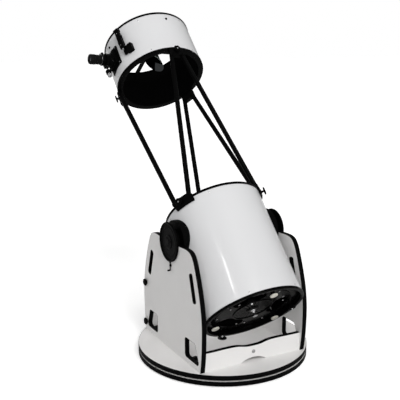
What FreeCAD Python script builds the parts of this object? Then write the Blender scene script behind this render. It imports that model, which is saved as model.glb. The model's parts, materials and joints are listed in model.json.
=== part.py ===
import FreeCAD, Part
import math
import os

# Truss-tube dobsonian reflecting telescope on a turntable rocker box.
# Frame of the whole assembly: +Z up, origin on the floor under the azimuth
# bolt, X along the altitude axis, the open end of the tube points to +Y.
# All lengths are millimetres, all angles degrees.

os.makedirs("parts", exist_ok=True)
Vector = FreeCAD.Vector
Rotation = FreeCAD.Rotation
Placement = FreeCAD.Placement

doc = FreeCAD.newDocument("dobsonian")
sheet = doc.addObject("Spreadsheet::Sheet", "dims")

DIMS = {
    # turntable
    "base_radius": 435.0, "edging": 1.5, "foot_height": 8.0, "disc_thick": 23.0,
    "race_thick": 1.0, "roller_radius": 2.5, "azi_bolt_radius": 8.0,
    "azi_bore_radius": 8.05,
    # rocker box
    "board_inner": 270.0, "board_thick": 24.0, "pivot_z": 622.0,
    "liner_outer": 64.0, "liner_inner": 60.05, "rear_panel_height": 300.0,
    "panel_thick": 21.0,
    # optical tube
    "rest_altitude": 45.96, "tube_radius": 252.0, "tube_wall": 1.4,
    "lower_bottom": -439.0, "lower_length": 585.0, "upper_bottom": 1027.0,
    "upper_length": 272.0, "pole_radius": 12.5, "pole_wall": 1.5,
    "bearing_radius": 103.0, "hub_radius": 60.0, "mirror_radius": 203.0,
    "mirror_thick": 44.0, "mirror_curve": 3658.0, "secondary_radius": 44.0,
    "cell_plate": 8.0,
    # focuser
    "drawtube_radius": 28.0, "eyepiece_bore": 25.45, "focus_shaft_radius": 4.0,
}
for row, (key, number) in enumerate(DIMS.items(), start=1):
    sheet.set(f"A{row}", key)
    sheet.set(f"B{row}", "%.6g" % number)
    sheet.setAlias(f"B{row}", key)
doc.recompute()

# heights of the turntable, from the floor up
BASE_R, EDGE, DISC_T = DIMS["base_radius"], DIMS["edging"], DIMS["disc_thick"]
RACE_T = DIMS["race_thick"]
GAP = 2 * RACE_T + 2 * DIMS["roller_radius"]
GROUND_Z = DIMS["foot_height"]
ROCKER_Z = GROUND_Z + DISC_T + GAP
FLOOR_Z = ROCKER_Z + DISC_T
PIVOT_Z = DIMS["pivot_z"]
# inner and outer faces of the side boards
BOARD_T = DIMS["board_thick"]
INSIDE_X = DIMS["board_inner"]
OUTSIDE_X = INSIDE_X + BOARD_T
# optical tube: radii, and the ends of its lower and upper parts
TUBE_R = DIMS["tube_radius"]
TUBE_INNER = TUBE_R - DIMS["tube_wall"]
LOWER_BOTTOM = DIMS["lower_bottom"]
LOWER_TOP = LOWER_BOTTOM + DIMS["lower_length"]
UPPER_BOTTOM = DIMS["upper_bottom"]
UPPER_TOP = UPPER_BOTTOM + DIMS["upper_length"]
# radii of the common knob shank, its threaded hole and its clearance bore
SHANK_R, TAP_R, BORE_R = 4.0, 4.05, 4.1

UP = Vector(0, 0, 1)
X_AXIS = (1, 0, 0)
nodes = []


# ---------------------------------------------------------------- helpers
def set_value(obj, prop, value):
    """A string is an expression on the sheet, anything else is a number."""
    if isinstance(value, str):
        obj.setExpression(prop, value)
    else:
        setattr(obj, prop, value)


def put(obj, at=(0, 0, 0), direction=(0, 0, 1), rotation=None):
    """Place an object; a coordinate given as a string is an expression."""
    base = Vector(*[0.0 if isinstance(c, str) else float(c) for c in at])
    if rotation is None:
        rotation = Rotation(UP, Vector(*direction))
    obj.Placement = Placement(base, rotation)
    for c, axis in zip(at, "xyz"):
        if isinstance(c, str):
            obj.setExpression("Placement.Base." + axis, c)
    return obj


def cyl(name, radius, height, at=(0, 0, 0), direction=(0, 0, 1), angle=None, rotation=None):
    obj = doc.addObject("Part::Cylinder", name)
    set_value(obj, "Radius", radius)
    set_value(obj, "Height", height)
    if angle is not None:
        obj.Angle = angle
    return put(obj, at, direction, rotation)


def box(name, size, at=(0, 0, 0), rotation=Rotation()):
    """Box of the given size with its centre at the given point."""
    obj = doc.addObject("Part::Box", name)
    obj.Length, obj.Width, obj.Height = size
    to_corner = rotation.multVec(Vector(*size) * -0.5)
    obj.Placement = Placement(Vector(*at) + to_corner, rotation)
    return obj


def fuse(name, *shapes):
    obj = doc.addObject("Part::MultiFuse", name)
    obj.Shapes = list(shapes)
    return obj


def cut(name, base, *tools):
    obj = doc.addObject("Part::Cut", name)
    obj.Base = base
    obj.Tool = tools[0] if len(tools) == 1 else fuse(name + "_tools", *tools)
    return obj


def common(name, *shapes):
    obj = doc.addObject("Part::MultiCommon", name)
    obj.Shapes = list(shapes)
    return obj


def group(name, *shapes):
    obj = doc.addObject("Part::Compound", name)
    obj.Links = list(shapes)
    return obj


def ring(name, outer, inner, height, at=(0, 0, 0), direction=(0, 0, 1)):
    return cut(name, cyl(name + "_o", outer, height, at, direction),
               cyl(name + "_i", inner, height, at, direction))


def turn(degrees):
    return Rotation(UP, degrees)


def around(radius, degrees, z=0.0):
    """Point on a circle about Z, counted from +X towards +Y."""
    angle = math.radians(degrees)
    return (radius * math.cos(angle), radius * math.sin(angle), z)


def flat(point):
    return Vector(*point, 0)


def line(start, end):
    return Part.LineSegment(flat(start), flat(end))


def polygon(points):
    return [line(a, b) for a, b in zip(points, points[1:] + points[:1])]


def rounded(points, radius, grow=0.0):
    """Convex counter-clockwise polygon with rounded corners, grown outwards."""
    count = len(points)
    corners = []
    for i in range(count):
        before, corner, after = [flat(points[k % count]) for k in (i - 1, i, i + 1)]
        edge_in = (corner - before).normalize()
        edge_out = (after - corner).normalize()
        normal_in = Vector(edge_in.y, -edge_in.x, 0)
        normal_out = Vector(edge_out.y, -edge_out.x, 0)
        # centre of the corner arc lies a radius inside both edges
        start = corner - normal_in * radius
        gap = corner - normal_out * radius - start
        sine = edge_in.x * edge_out.y - edge_in.y * edge_out.x
        centre = start + edge_in * ((gap.x * edge_out.y - gap.y * edge_out.x) / sine)
        middle = (normal_in + normal_out).normalize()
        corners.append([centre + n * (radius + grow) for n in (normal_in, middle, normal_out)])
    wire = []
    for i in range(count):
        wire.append(Part.Arc(*corners[i]))
        wire.append(Part.LineSegment(corners[i][2], corners[(i + 1) % count][0]))
    return wire


def circle(radius, x=0.0, y=0.0):
    return [Part.Circle(Vector(x, y, 0), UP, radius)]


def spline(points):
    curve = Part.BSplineCurve()
    curve.interpolate([flat(p) for p in points])
    return curve


def sketch(body, name, wires):
    """Sketch of the given wires on the XY plane of a body."""
    plane = next(f for f in body.Origin.OriginFeatures if f.Role == "XY_Plane")
    drawing = body.newObject("Sketcher::SketchObject", name)
    drawing.AttachmentSupport = [(plane, "")]
    drawing.MapMode = "FlatFace"
    for wire in wires:
        for geometry in wire:
            drawing.addGeometry(geometry, False)
    return drawing


def padded(name, wires, length):
    """PartDesign body: one sketch on the XY plane, padded along +Z."""
    body = doc.addObject("PartDesign::Body", name)
    profile = sketch(body, name + "_outline", wires)
    pad = body.newObject("PartDesign::Pad", name + "_pad")
    pad.Profile = profile
    set_value(pad, "Length", length)
    return body


def turned(name, points, at=(0, 0, 0), direction=(0, 0, 1)):
    """Solid of revolution about Z of a closed (radius, height) profile."""
    drawing = doc.addObject("Sketcher::SketchObject", name + "_profile")
    drawing.Placement = Placement(Vector(), Rotation(Vector(1, 0, 0), 90))
    for geometry in polygon(points):
        drawing.addGeometry(geometry, False)
    obj = doc.addObject("Part::Revolution", name)
    obj.Source = drawing
    obj.Axis = UP
    obj.Base = Vector(0, 0, 0)
    obj.Angle = 360
    obj.Solid = True
    return put(obj, at, direction)


def grip_bites(group_name, bite_name, radius, height, reach, z):
    """Six cylinders that scallop the rim of a knob."""
    return group(group_name, *[cyl(f"{bite_name}{i}", radius, height, around(reach, 60 * i, z))
                               for i in range(6)])


def node(obj, name, placement=None):
    """Register an object as a finished piece."""
    obj.Label = name
    if placement is not None:
        obj.Placement = placement
    nodes.append((name, obj))
    return obj


def lift(z):
    return Placement(Vector(0, 0, z), Rotation())


# local X -> Y, local Y -> Z, local Z -> X : drawings of upright side boards
SIDE = Rotation(Vector(0, 1, 0), Vector(0, 0, 1), Vector(1, 0, 0), "ZXY")
# local X -> X, local Y -> Z, local Z -> -Y : drawings of cross panels
CROSS = Rotation(Vector(1, 0, 0), 90)


# ------------------------------------------------------------ ground board
def disc_edging(name):
    return ring(name, "dims.base_radius", "dims.base_radius - dims.edging", "dims.disc_thick")


BOLT_FLATS = 24.0
HEAD_T, NUT_T, WASHER_R, WASHER_T = 10.0, 13.0, 24.0, 2.5
HEAD_SINK = 1.0                 # bolt head above the underside of the board
SHANK_START = GROUND_Z + 2.0
SHANK_TOP = FLOOR_Z + 24.0
COUNTERBORE_R = 17.0
FOOT_BOTTOM_R, FOOT_TOP_R, FOOT_REACH = 21.0, 24.0, 372.0

board = padded("ground_disc", [circle(BASE_R - EDGE), circle(DIMS["azi_bore_radius"])],
               "dims.disc_thick")
# counterbore, cut upwards from the underside
counterbore_circle = sketch(board, "ground_counterbore_sketch", [circle(COUNTERBORE_R)])
counterbore = board.newObject("PartDesign::Pocket", "ground_counterbore")
counterbore.Profile = counterbore_circle
counterbore.Length = HEAD_SINK + HEAD_T
counterbore.Reversed = True
node(board, "ground_board", lift(GROUND_Z))
node(disc_edging("ground_edge"), "ground_board_edging", lift(GROUND_Z))

feet = []
for i, angle in enumerate((90, 210, 330)):
    foot = doc.addObject("Part::Cone", f"foot{i}")
    foot.Radius1, foot.Radius2 = FOOT_BOTTOM_R, FOOT_TOP_R
    foot.setExpression("Height", "dims.foot_height")
    feet.append(put(foot, around(FOOT_REACH, angle)))
node(group("feet_set", *feet), "ground_feet")

# M16 azimuth bolt: head in the counterbore, washer and nut on the rocker floor
hexagon = [around(BOLT_FLATS / math.sqrt(3), 60 * i)[:2] for i in range(6)]
bolt_head = padded("azi_head", [polygon(hexagon)], HEAD_T)
bolt_head.Placement = lift(GROUND_Z + HEAD_SINK)
bolt_nut = padded("azi_nut", [polygon(hexagon)], NUT_T)
bolt_nut.Placement = lift(FLOOR_Z + WASHER_T)
node(fuse("azi_bolt", bolt_head,
          cyl("azi_shank", "dims.azi_bolt_radius", SHANK_TOP - SHANK_START, (0, 0, SHANK_START)),
          cyl("azi_washer", WASHER_R, WASHER_T, (0, 0, FLOOR_Z)), bolt_nut),
     "azimuth_bolt")

# ------------------------------------------------- races and roller cage
RACE_OUTER, RACE_INNER = 202.0, 138.0
CAGE_OUTER, CAGE_INNER, CAGE_T = 200.0, 140.0, 2.0
ROLLERS, ROLLER_START, ROLLER_LENGTH = 18, 150.0, 40.0
# window over roller: clearance in length and in width
WINDOW_SIZE = (ROLLER_LENGTH + 0.6, 2 * DIMS["roller_radius"] + 0.3, 2 * CAGE_T)

for name, label, z in (("race_low", "lower_race", GROUND_Z + DISC_T),
                       ("race_up", "upper_race", ROCKER_Z - RACE_T)):
    node(ring(name, RACE_OUTER, RACE_INNER, "dims.race_thick"), label, lift(z))

cage = ring("cage_ring", CAGE_OUTER, CAGE_INNER, CAGE_T, (0, 0, -CAGE_T / 2))
windows, rollers = [], []
for i in range(ROLLERS):
    angle = 360 / ROLLERS * i
    windows.append(box(f"cage_window{i}", WINDOW_SIZE,
                       around(ROLLER_START + ROLLER_LENGTH / 2, angle), turn(angle)))
    rollers.append(cyl(f"roller{i}", "dims.roller_radius", ROLLER_LENGTH,
                       around(ROLLER_START, angle), around(1.0, angle)))
cage = cut("cage_plate", cage, group("cage_windows", *windows))
node(group("cage_set", cage, *rollers), "azimuth_roller_cage", lift(GROUND_Z + DISC_T + GAP / 2))

# ------------------------------------------------------------- rocker base
# (x, y) of the four knobs on the rocker floor
BASE_KNOBS = [(x, y) for y in (-178.0, 262.0) for x in (-249.0, 249.0)]

node(padded("rocker_disc", [circle(BASE_R - EDGE), circle(DIMS["azi_bore_radius"])]
            + [circle(BORE_R, x, y) for x, y in BASE_KNOBS], "dims.disc_thick"),
     "rocker_base", lift(ROCKER_Z))
node(disc_edging("rocker_edge"), "rocker_base_edging", lift(ROCKER_Z))

# ------------------------------------------------------------- side boards
NOTCH_R = DIMS["liner_outer"]
REAR_OUT_Y = 306.0
REAR_IN_Y = REAR_OUT_Y - DIMS["panel_thick"]
KNOB_Y = (REAR_IN_Y + REAR_OUT_Y) / 2
KNOB_Z = (329.0, 110.0)

# side and top edge: (distance from the pivot plane, height), floor to cradle
EDGE_POINTS = [
    (310, 61), (318, 110), (323.5, 160), (326.5, 215), (327.5, 269), (325, 315),
    (319.5, 356), (310.5, 400), (298.5, 443), (286.5, 480), (272, 520), (256.5, 558),
    (244, 584), (231, 602.5), (216.5, 615), (200, 622), (183, 625), (163, 625.8),
    (132, 625), (98, 623.6)]

# leaning hand slot: centre, half sizes, unit vectors along and across it
SLOT_CENTRE = (235.3, 453.9)
SLOT_HALF_LENGTH, SLOT_HALF_WIDTH, SLOT_CORNER_R = 70.0, 17.0, 12.5
SLOT_ALONG, SLOT_ACROSS = (-0.292, 0.956), (0.956, 0.292)
SLOT = [tuple(SLOT_CENTRE[k] + SLOT_HALF_LENGTH * a * SLOT_ALONG[k]
              + SLOT_HALF_WIDTH * b * SLOT_ACROSS[k] for k in (0, 1))
        for a, b in ((-1, -1), (-1, 1), (1, 1), (1, -1))]
# trapezoid window on the -Y and +Y side: (distance from the pivot plane, height)
WINDOW = {-1: [(153, 90), (302, 90), (258, 188), (153, 188)],
          1: [(161, 90), (288, 90), (255, 188), (161, 188)]}
WINDOW_CORNER_R = 16.0


def offset_curve(points, distance):
    """Points moved towards the inside of the board."""
    moved = []
    for i, (x, y) in enumerate(points):
        before = points[max(i - 1, 0)]
        after = points[min(i + 1, len(points) - 1)]
        run, rise = after[0] - before[0], after[1] - before[1]
        length = math.hypot(run, rise)
        moved.append((x - rise / length * distance, y + run / length * distance))
    return moved


def mirror(points, side):
    return [(x * side, y) for x, y in points]


def ccw(points):
    area = sum(points[i - 1][0] * points[i][1] - points[i][0] * points[i - 1][1]
               for i in range(len(points)))
    return points if area > 0 else points[::-1]


OUTER = EDGE_POINTS + [(NOTCH_R, PIVOT_Z)]
INNER = offset_curve(EDGE_POINTS, EDGE)
INNER[0] = (INNER[0][0], FLOOR_Z)
# the inner line ends on the notch circle
INNER.append((math.sqrt(NOTCH_R ** 2 - EDGE ** 2), PIVOT_Z - EDGE))
# (corner points, corner radius) of the openings on each side of the pivot
OPENINGS = {side: [(ccw(mirror(SLOT, side)), SLOT_CORNER_R),
                   (ccw(mirror(WINDOW[side], side)), WINDOW_CORNER_R)] for side in (-1, 1)}


def side_board(name):
    left, right = mirror(INNER, -1), INNER
    cradle = Part.Arc(flat(left[-1]), Vector(0, PIVOT_Z - NOTCH_R, 0), flat(right[-1]))
    wires = [[spline(left[:-1]), line(left[-2], left[-1]), cradle, line(right[-1], right[-2]),
              spline(right[:-1][::-1]), line(right[0], left[0])]]
    for side in (-1, 1):
        wires += [rounded(points, radius, EDGE) for points, radius in OPENINGS[side]]
    wires += [circle(BORE_R, KNOB_Y, z) for z in KNOB_Z]
    return padded(name, wires, "dims.board_thick")


def edge_band(name, side):
    """Edge band along one side and the top of a board, up to the cradle."""
    outer, inner = mirror(OUTER, side), mirror(INNER, side)
    wire = [spline(outer[:-1]), line(outer[-2], outer[-1]), line(outer[-1], inner[-1]),
            line(inner[-1], inner[-2]), spline(inner[:-1][::-1]), line(inner[0], outer[0])]
    return padded(name, [wire], "dims.board_thick")


# (name, x of the face nearest to -X)
BOARDS = (("left", -OUTSIDE_X), ("right", INSIDE_X))
bands = []
for tag, board_x in BOARDS:
    here = Placement(Vector(board_x, 0, 0), SIDE)
    node(side_board("board_" + tag), "side_board_" + tag, here)
    for k, side in enumerate((-1, 1)):
        parts = [edge_band(f"band_{tag}{k}", side)]
        for points, radius in OPENINGS[side]:
            parts.append(padded(f"openingband_{tag}{k}_{int(radius)}",
                                [rounded(points, radius, EDGE), rounded(points, radius)],
                                "dims.board_thick"))
        for part in parts:
            part.Placement = here
        bands += parts
node(group("bands_set", *bands), "side_board_edging")

# ------------------------------------------------------------ cross panels
# rear panel on the +Y side, with bores along X for the assembly knobs
REAR_TOP = FLOOR_Z + DIMS["rear_panel_height"]
BORE_DEPTH = 45.0
rear = padded("rear_sheet", [polygon([(-INSIDE_X, FLOOR_Z), (INSIDE_X, FLOOR_Z),
                                      (INSIDE_X, REAR_TOP - EDGE), (-INSIDE_X, REAR_TOP - EDGE)])],
              "dims.panel_thick")
rear.Placement = Placement(Vector(0, REAR_OUT_Y, 0), CROSS)
bores = [cyl(f"rear_bore{z:.0f}{side + 1}", BORE_R, BORE_DEPTH + 1.0,
             (side * (INSIDE_X - BORE_DEPTH), KNOB_Y, z), (side, 0, 0))
         for z in KNOB_Z for side in (-1, 1)]
node(cut("rear_cut", rear, group("rear_bores", *bores)), "rear_panel")

# front panel on the -Y side, dipped in the middle of its top edge
FRONT_Y = -305.0
FRONT_END_Z = 152.0
FRONT_PLACE = Placement(Vector(0, FRONT_Y + DIMS["panel_thick"], 0), CROSS)
PANEL_BOLT_Z = 110.0
ARCH_HALF, ARCH_RISE = 71.0, 20.0
# +X half of the top edge: (x, height)
TOP_HALF = [(0, 139.0), (28, 139.6), (48, 142.2), (68, 146.6), (90, 150.6),
            (112, 152.0), (180, 152.0), (INSIDE_X, FRONT_END_Z)]
TOP_POINTS = mirror(TOP_HALF[:0:-1], -1) + TOP_HALF
BAND_POINTS = [(x, z + EDGE) for x, z in TOP_POINTS]

arch = Part.Arc(Vector(-ARCH_HALF, FLOOR_Z, 0), Vector(0, FLOOR_Z + ARCH_RISE, 0),
                Vector(ARCH_HALF, FLOOR_Z, 0))
front_wire = [line((-INSIDE_X, FLOOR_Z), (-ARCH_HALF, FLOOR_Z)), arch,
              line((ARCH_HALF, FLOOR_Z), (INSIDE_X, FLOOR_Z)),
              line((INSIDE_X, FLOOR_Z), TOP_POINTS[-1]), spline(TOP_POINTS[::-1]),
              line(TOP_POINTS[0], (-INSIDE_X, FLOOR_Z))]
node(padded("front_sheet", [front_wire, circle(BORE_R, 0.0, PANEL_BOLT_Z)], "dims.panel_thick"),
     "front_panel", FRONT_PLACE)

front_band = padded("front_band", [[spline(TOP_POINTS), line(TOP_POINTS[-1], BAND_POINTS[-1]),
                                    spline(BAND_POINTS[::-1]),
                                    line(BAND_POINTS[0], TOP_POINTS[0])]], "dims.panel_thick")
front_band.Placement = FRONT_PLACE
rear_band = box("rear_band", (2 * INSIDE_X, DIMS["panel_thick"], EDGE),
                (0, KNOB_Y, REAR_TOP - EDGE / 2))
node(group("panel_bands", front_band, rear_band), "panel_edging")

# half-round bearing liners in the cradles: a full ring kept below the edging
KEEP_WIDTH, KEEP_HEIGHT = 140.0, 70.0
liners = []
for k, (tag, board_x) in enumerate(BOARDS):
    full = ring(f"liner_ring{k}", "dims.liner_outer", "dims.liner_inner", "dims.board_thick",
                (board_x, 0, PIVOT_Z), X_AXIS)
    below = box(f"liner_half{k}", (BOARD_T + 10.0, KEEP_WIDTH, KEEP_HEIGHT),
                (board_x + BOARD_T / 2, 0, PIVOT_Z - EDGE - KEEP_HEIGHT / 2))
    liners.append(common(f"liner{k}", full, below))
node(group("liner_set", *liners), "cradle_liners")


# -------------------------------------------------------- rocker hardware
def hand_knob(name, radius, height, at, direction, shank):
    """Round hand knob with a chamfered rim, a raised cap and a plain shank."""
    head = turned(name + "_head", [
        (0, 0), (radius * 0.62, 0), (radius * 0.7, height * 0.2), (radius, height * 0.34),
        (radius, height * 0.86), (radius * 0.9, height), (0, height)])
    solid = fuse(name + "_solid", head, cyl(name + "_shank", SHANK_R, shank + 1.0, (0, 0, -shank)))
    cap = cyl(name + "_cap", radius * 0.45, 1.5, (0, 0, height - 0.5))
    return put(fuse(name, solid, cap), at, direction)


knobs = [hand_knob(f"asm_knob{z:.0f}{side + 1}", radius=19.0, height=15.0,
                   at=(side * OUTSIDE_X, KNOB_Y, z), direction=(side, 0, 0), shank=62.0)
         for z in KNOB_Z for side in (-1, 1)]
knobs += [hand_knob(f"base_knob{i}", radius=18.5, height=21.0,
                    at=(x, y, FLOOR_Z), direction=(0, 0, 1), shank=20.0)
          for i, (x, y) in enumerate(BASE_KNOBS)]
node(group("asm_knobs", *knobs), "assembly_knobs")

# From here on every *_PROFILE is a closed outline of (radius, height) points.
PANEL_BOLT_PROFILE = [(0, 0), (9.5, 0), (9.5, 2.2), (7.4, 5.0), (0, 5.6)]
PANEL_BOLT_LENGTH = 25.0
PANEL_NUT_R, PANEL_NUT_T = 7.5, 6.0
SOCKET_R, SOCKET_DEPTH = 3.2, 3.0


def panel_bolt_cyl(name, radius, height, offset):
    """Cylinder on the bolt's axis, starting at an offset from the panel's outer face."""
    return cyl(name, radius, height, (0, FRONT_Y + offset, PANEL_BOLT_Z), (0, 1, 0))


node(cut("panel_bolt_cut",
         fuse("panel_bolt_solid",
              turned("panel_bolt_head", PANEL_BOLT_PROFILE, (0, FRONT_Y, PANEL_BOLT_Z), (0, -1, 0)),
              panel_bolt_cyl("panel_bolt_shank", SHANK_R, PANEL_BOLT_LENGTH, -1.0),
              panel_bolt_cyl("panel_bolt_nut", PANEL_NUT_R, PANEL_NUT_T, DIMS["panel_thick"])),
         panel_bolt_cyl("panel_bolt_socket", SOCKET_R, SOCKET_DEPTH, -6.0)), "panel_bolt")

# altitude brake lever on the outside of the left board; -X points outwards
BRAKE_AT = Vector(-OUTSIDE_X, -8.0, 505.0)
BRAKE_X = -5.0                  # mid-plane of the stem and the shoe
BRAKE_STEM, BRAKE_STEM_Z = (4.0, 6.5, 42.0), -3.6
BRAKE_SHOE, BRAKE_SHOE_Z = (5.0, 11.0, 5.0), 15.0
node(fuse("brake_solid",
          cyl("brake_boss", radius=6.5, height=7.0, direction=(-1, 0, 0)),
          box("brake_stem", BRAKE_STEM, (BRAKE_X, 0, BRAKE_STEM_Z)),
          box("brake_shoe", BRAKE_SHOE, (BRAKE_X, 0, BRAKE_SHOE_Z)),
          cyl("brake_tip", radius=4.5, height=17.0, at=(-3.0, 0, -24.0), direction=(-1, 0, 0))),
     "altitude_brake_lever", Placement(BRAKE_AT, Rotation()))

# ------------------------------------------------------------ optical tube
# Tube frame: Z along the optical axis towards the sky, X along the altitude
# axis, origin at the pivot.  phi is counted from +X towards the upper side,
# a station is a height along the tube's Z.
TUBE = Placement(Vector(0, 0, PIVOT_Z),
                 Rotation(Vector(1, 0, 0), -(90.0 - DIMS["rest_altitude"])))


def radial(phi):
    angle = math.radians(phi)
    return Vector(math.cos(angle), -math.sin(angle), 0)


def polar(radius, phi, station):
    out = radial(phi) * radius
    return Vector(out.x, out.y, station)


def pie(name, radius, height, station, phi, half):
    """Slice of a cylinder, centred on phi."""
    return cyl(name, radius, height, (0, 0, station), angle=2 * half, rotation=turn(-(phi + half)))


def sector(name, inner, outer, bottom, top, phi, half):
    """Block between two radii and two stations, centred on phi."""
    return cut(name, pie(name + "_o", outer, top - bottom, bottom, phi, half),
               cyl(name + "_i", inner, top - bottom + 2.0, (0, 0, bottom - 1.0)))


def radial_cyl(name, radius, height, start, phi, station):
    """Cylinder pointing outwards from a start radius."""
    return cyl(name, radius, height, polar(start, phi, station), radial(phi))


def side_frame(phi, station):
    """Frame on the tube: X along the optical axis, Z outwards, Y towards growing phi."""
    out = radial(phi)
    return Placement(Vector(0, 0, station), Rotation(UP, Vector(out.y, -out.x, 0), out, "ZXY"))


RING_T, RING_BAND = 3.0, 10.0


def end_ring(name, station, facing, inner):
    """Folded end ring: a band round the tube and a lip across its end."""
    band, lip = station - facing * RING_BAND, station + facing * RING_T
    return turned(name, [(TUBE_R, band), (TUBE_R + RING_T, band), (TUBE_R + RING_T, lip),
                         (inner, lip), (inner, station), (TUBE_R, station)])


def tube_shell(name, end):
    return ring(name, "dims.tube_radius", "dims.tube_radius - dims.tube_wall",
                f"dims.{end}_length", (0, 0, f"dims.{end}_bottom"))


node(tube_shell("lower_shell", "lower"), "lower_tube", TUBE)
node(group("lower_rings", end_ring("ring_lb", LOWER_BOTTOM, -1, 238.0),
           end_ring("ring_lt", LOWER_TOP, 1, 240.0)), "lower_tube_rings", TUBE)

# upper tube, with a round port under the focuser
FOCUS_PHI, FOCUS_S = 174.0, 1154.0
PORT_R = 34.0
FOCUS = TUBE.multiply(side_frame(FOCUS_PHI, FOCUS_S))
port = radial_cyl("focuser_port", PORT_R, 60.0, 220, FOCUS_PHI, FOCUS_S)
node(cut("upper_shell_cut", tube_shell("upper_shell", "upper"), port), "upper_tube", TUBE)
node(group("upper_rings", end_ring("ring_ub", UPPER_BOTTOM, -1, 224.0),
           end_ring("ring_ut", UPPER_TOP, 1, 240.0)), "upper_tube_rings", TUBE)

# ------------------------------------------------------------------- truss
# six poles between three lower and three upper brackets
LOW_PHI, UP_PHI = (151.2, 31.2, 271.2), (209.1, 89.1, 329.1)
LOW_SPREAD, UP_SPREAD = 10.08, 5.57     # pole end from the middle of its bracket
LOW_POLE_R, UP_POLE_R = 250.0, 248.0
POLE_TRIM, SOCKET_TRIM = 8.0, 7.0       # taken off each end of a pole and its socket
# upper bracket and side of it, lower bracket and side of it
POLE_ENDS = ((0, -1, 0, 1), (0, 1, 2, -1), (1, 1, 0, -1),
             (1, -1, 1, 1), (2, 1, 1, -1), (2, -1, 2, 1))

poles, sockets = [], []
for i, (upper, upper_side, lower, lower_side) in enumerate(POLE_ENDS):
    foot = polar(LOW_POLE_R, LOW_PHI[lower] + lower_side * LOW_SPREAD, LOWER_TOP)
    head = polar(UP_POLE_R, UP_PHI[upper] + upper_side * UP_SPREAD, UPPER_BOTTOM)
    axis = (head - foot).normalize()
    length = (head - foot).Length
    start = foot + axis * POLE_TRIM
    outside = cyl(f"pole_o{i}", "dims.pole_radius", length - 2 * POLE_TRIM, start, axis)
    inside = cyl(f"pole_i{i}", "dims.pole_radius - dims.pole_wall", length - 2 * POLE_TRIM,
                 start, axis)
    poles.append(cut(f"pole{i}", outside, inside))
    sockets.append(cyl(f"pole_clear{i}", "dims.pole_radius + 0.05", length - 2 * SOCKET_TRIM,
                       foot + axis * SOCKET_TRIM, axis))
node(group("pole_set", *poles), "truss_poles", TUBE)
clearance = group("pole_clearances", *sockets)

LOW_KNOB_S, UP_KNOB_S = 139.0, 1010.0
BRACKET_TAP_START, BRACKET_TAP_LENGTH = 230.0, 60.0
LOW_SEAT = LOWER_TOP + RING_T
LOW_BLOCK_TOP = 165.0
PAD_HALF, PAD_SHIFT = 12.3, -3.2        # half angle of the pad, its shift from the bracket
# curved pad over the end ring, its lower edge tapering to the wall
LOW_PAD_PROFILE = [(TUBE_R + RING_T, 113.0), (TUBE_R + 6.0, 113.0), (TUBE_R + 13.0, 124.0),
                   (TUBE_R + 13.0, LOW_SEAT), (TUBE_R + RING_T, LOW_SEAT)]


def bracket_tap(name, phi, station):
    return radial_cyl(name, TAP_R, BRACKET_TAP_LENGTH, BRACKET_TAP_START, phi, station)


brackets = []
for i, phi in enumerate(LOW_PHI):
    plate = common(f"low_plate{i}", turned(f"low_pad{i}", LOW_PAD_PROFILE),
                   pie(f"low_wedge{i}", 300.0, 60.0, 100.0, phi + PAD_SHIFT, PAD_HALF))
    block = sector(f"low_block{i}", 236.0, TUBE_R + 11.0, LOW_SEAT, LOW_BLOCK_TOP, phi, 12.6)
    brackets.append(cut(f"low_bracket{i}", fuse(f"low_solid{i}", plate, block), clearance,
                        bracket_tap(f"low_tap{i}", phi, LOW_KNOB_S)))
node(group("low_brackets", *brackets), "lower_truss_brackets", TUBE)

UP_BLOCK_BOTTOM, UP_BLOCK_R = 978.0, TUBE_R + 9.0
brackets = []
for i, phi in enumerate(UP_PHI):
    block = sector(f"up_block{i}", 234.0, UP_BLOCK_R, UP_BLOCK_BOTTOM, UPPER_BOTTOM - RING_T,
                   phi, 9.0)
    brackets.append(cut(f"up_bracket{i}", block, clearance,
                        bracket_tap(f"up_tap{i}", phi, UP_KNOB_S)))
node(group("up_brackets", *brackets), "upper_truss_brackets", TUBE)


def clamp_knob(name, phi, station, seat, neck, shank):
    """Disc knob on a waisted neck, its axis radial to the tube."""
    head = turned(name + "_head", [
        (0, 0), (8.0, 0), (8.0, 2.0), (5.5, 5.0), (5.5, neck), (19.0, neck + 2.0),
        (20.5, neck + 4.0), (20.5, neck + 7.5), (19.0, neck + 9.0), (0, neck + 9.6)])
    solid = fuse(name + "_solid", head, cyl(name + "_shank", SHANK_R, shank + 1.0, (0, 0, -shank)))
    bites = grip_bites(name + "_bites", name + "_bite", radius=4.2, height=12.0,
                       reach=22.6, z=neck)
    place = Placement(polar(seat, phi, station), Rotation(UP, radial(phi)))
    node(cut(name + "_cut", solid, bites), name, TUBE.multiply(place))


for tag, phi in zip("abc", LOW_PHI):
    clamp_knob("lower_clamp_knob_" + tag, phi, LOW_KNOB_S, TUBE_R + 13.2, neck=12.0, shank=9.3)
for tag, phi in zip("abc", UP_PHI):
    clamp_knob("upper_clamp_knob_" + tag, phi, UP_KNOB_S, UP_BLOCK_R + 0.2, neck=7.0, shank=18.0)

# ------------------------------------------------------- altitude bearings
# drum with a saddle face on the tube, hub, outer disc
DRUM_X, DRUM_LENGTH = 200.0, 68.5
HUB_X, HUB_LENGTH = 267.5, 30.0
BEARING_DISC_X = 296.0
SADDLE_HALF = 130.0
BEARING_DISC_PROFILE = [
    (0, 0), (95.5, 0), (98.0, 2.0), (98.0, 8.5), (96.0, 10.5), (91.0, 10.5),
    (88.5, 8.0), (87.0, 4.6), (36.0, 4.6), (33.0, 7.4), (0, 7.4)]

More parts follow.
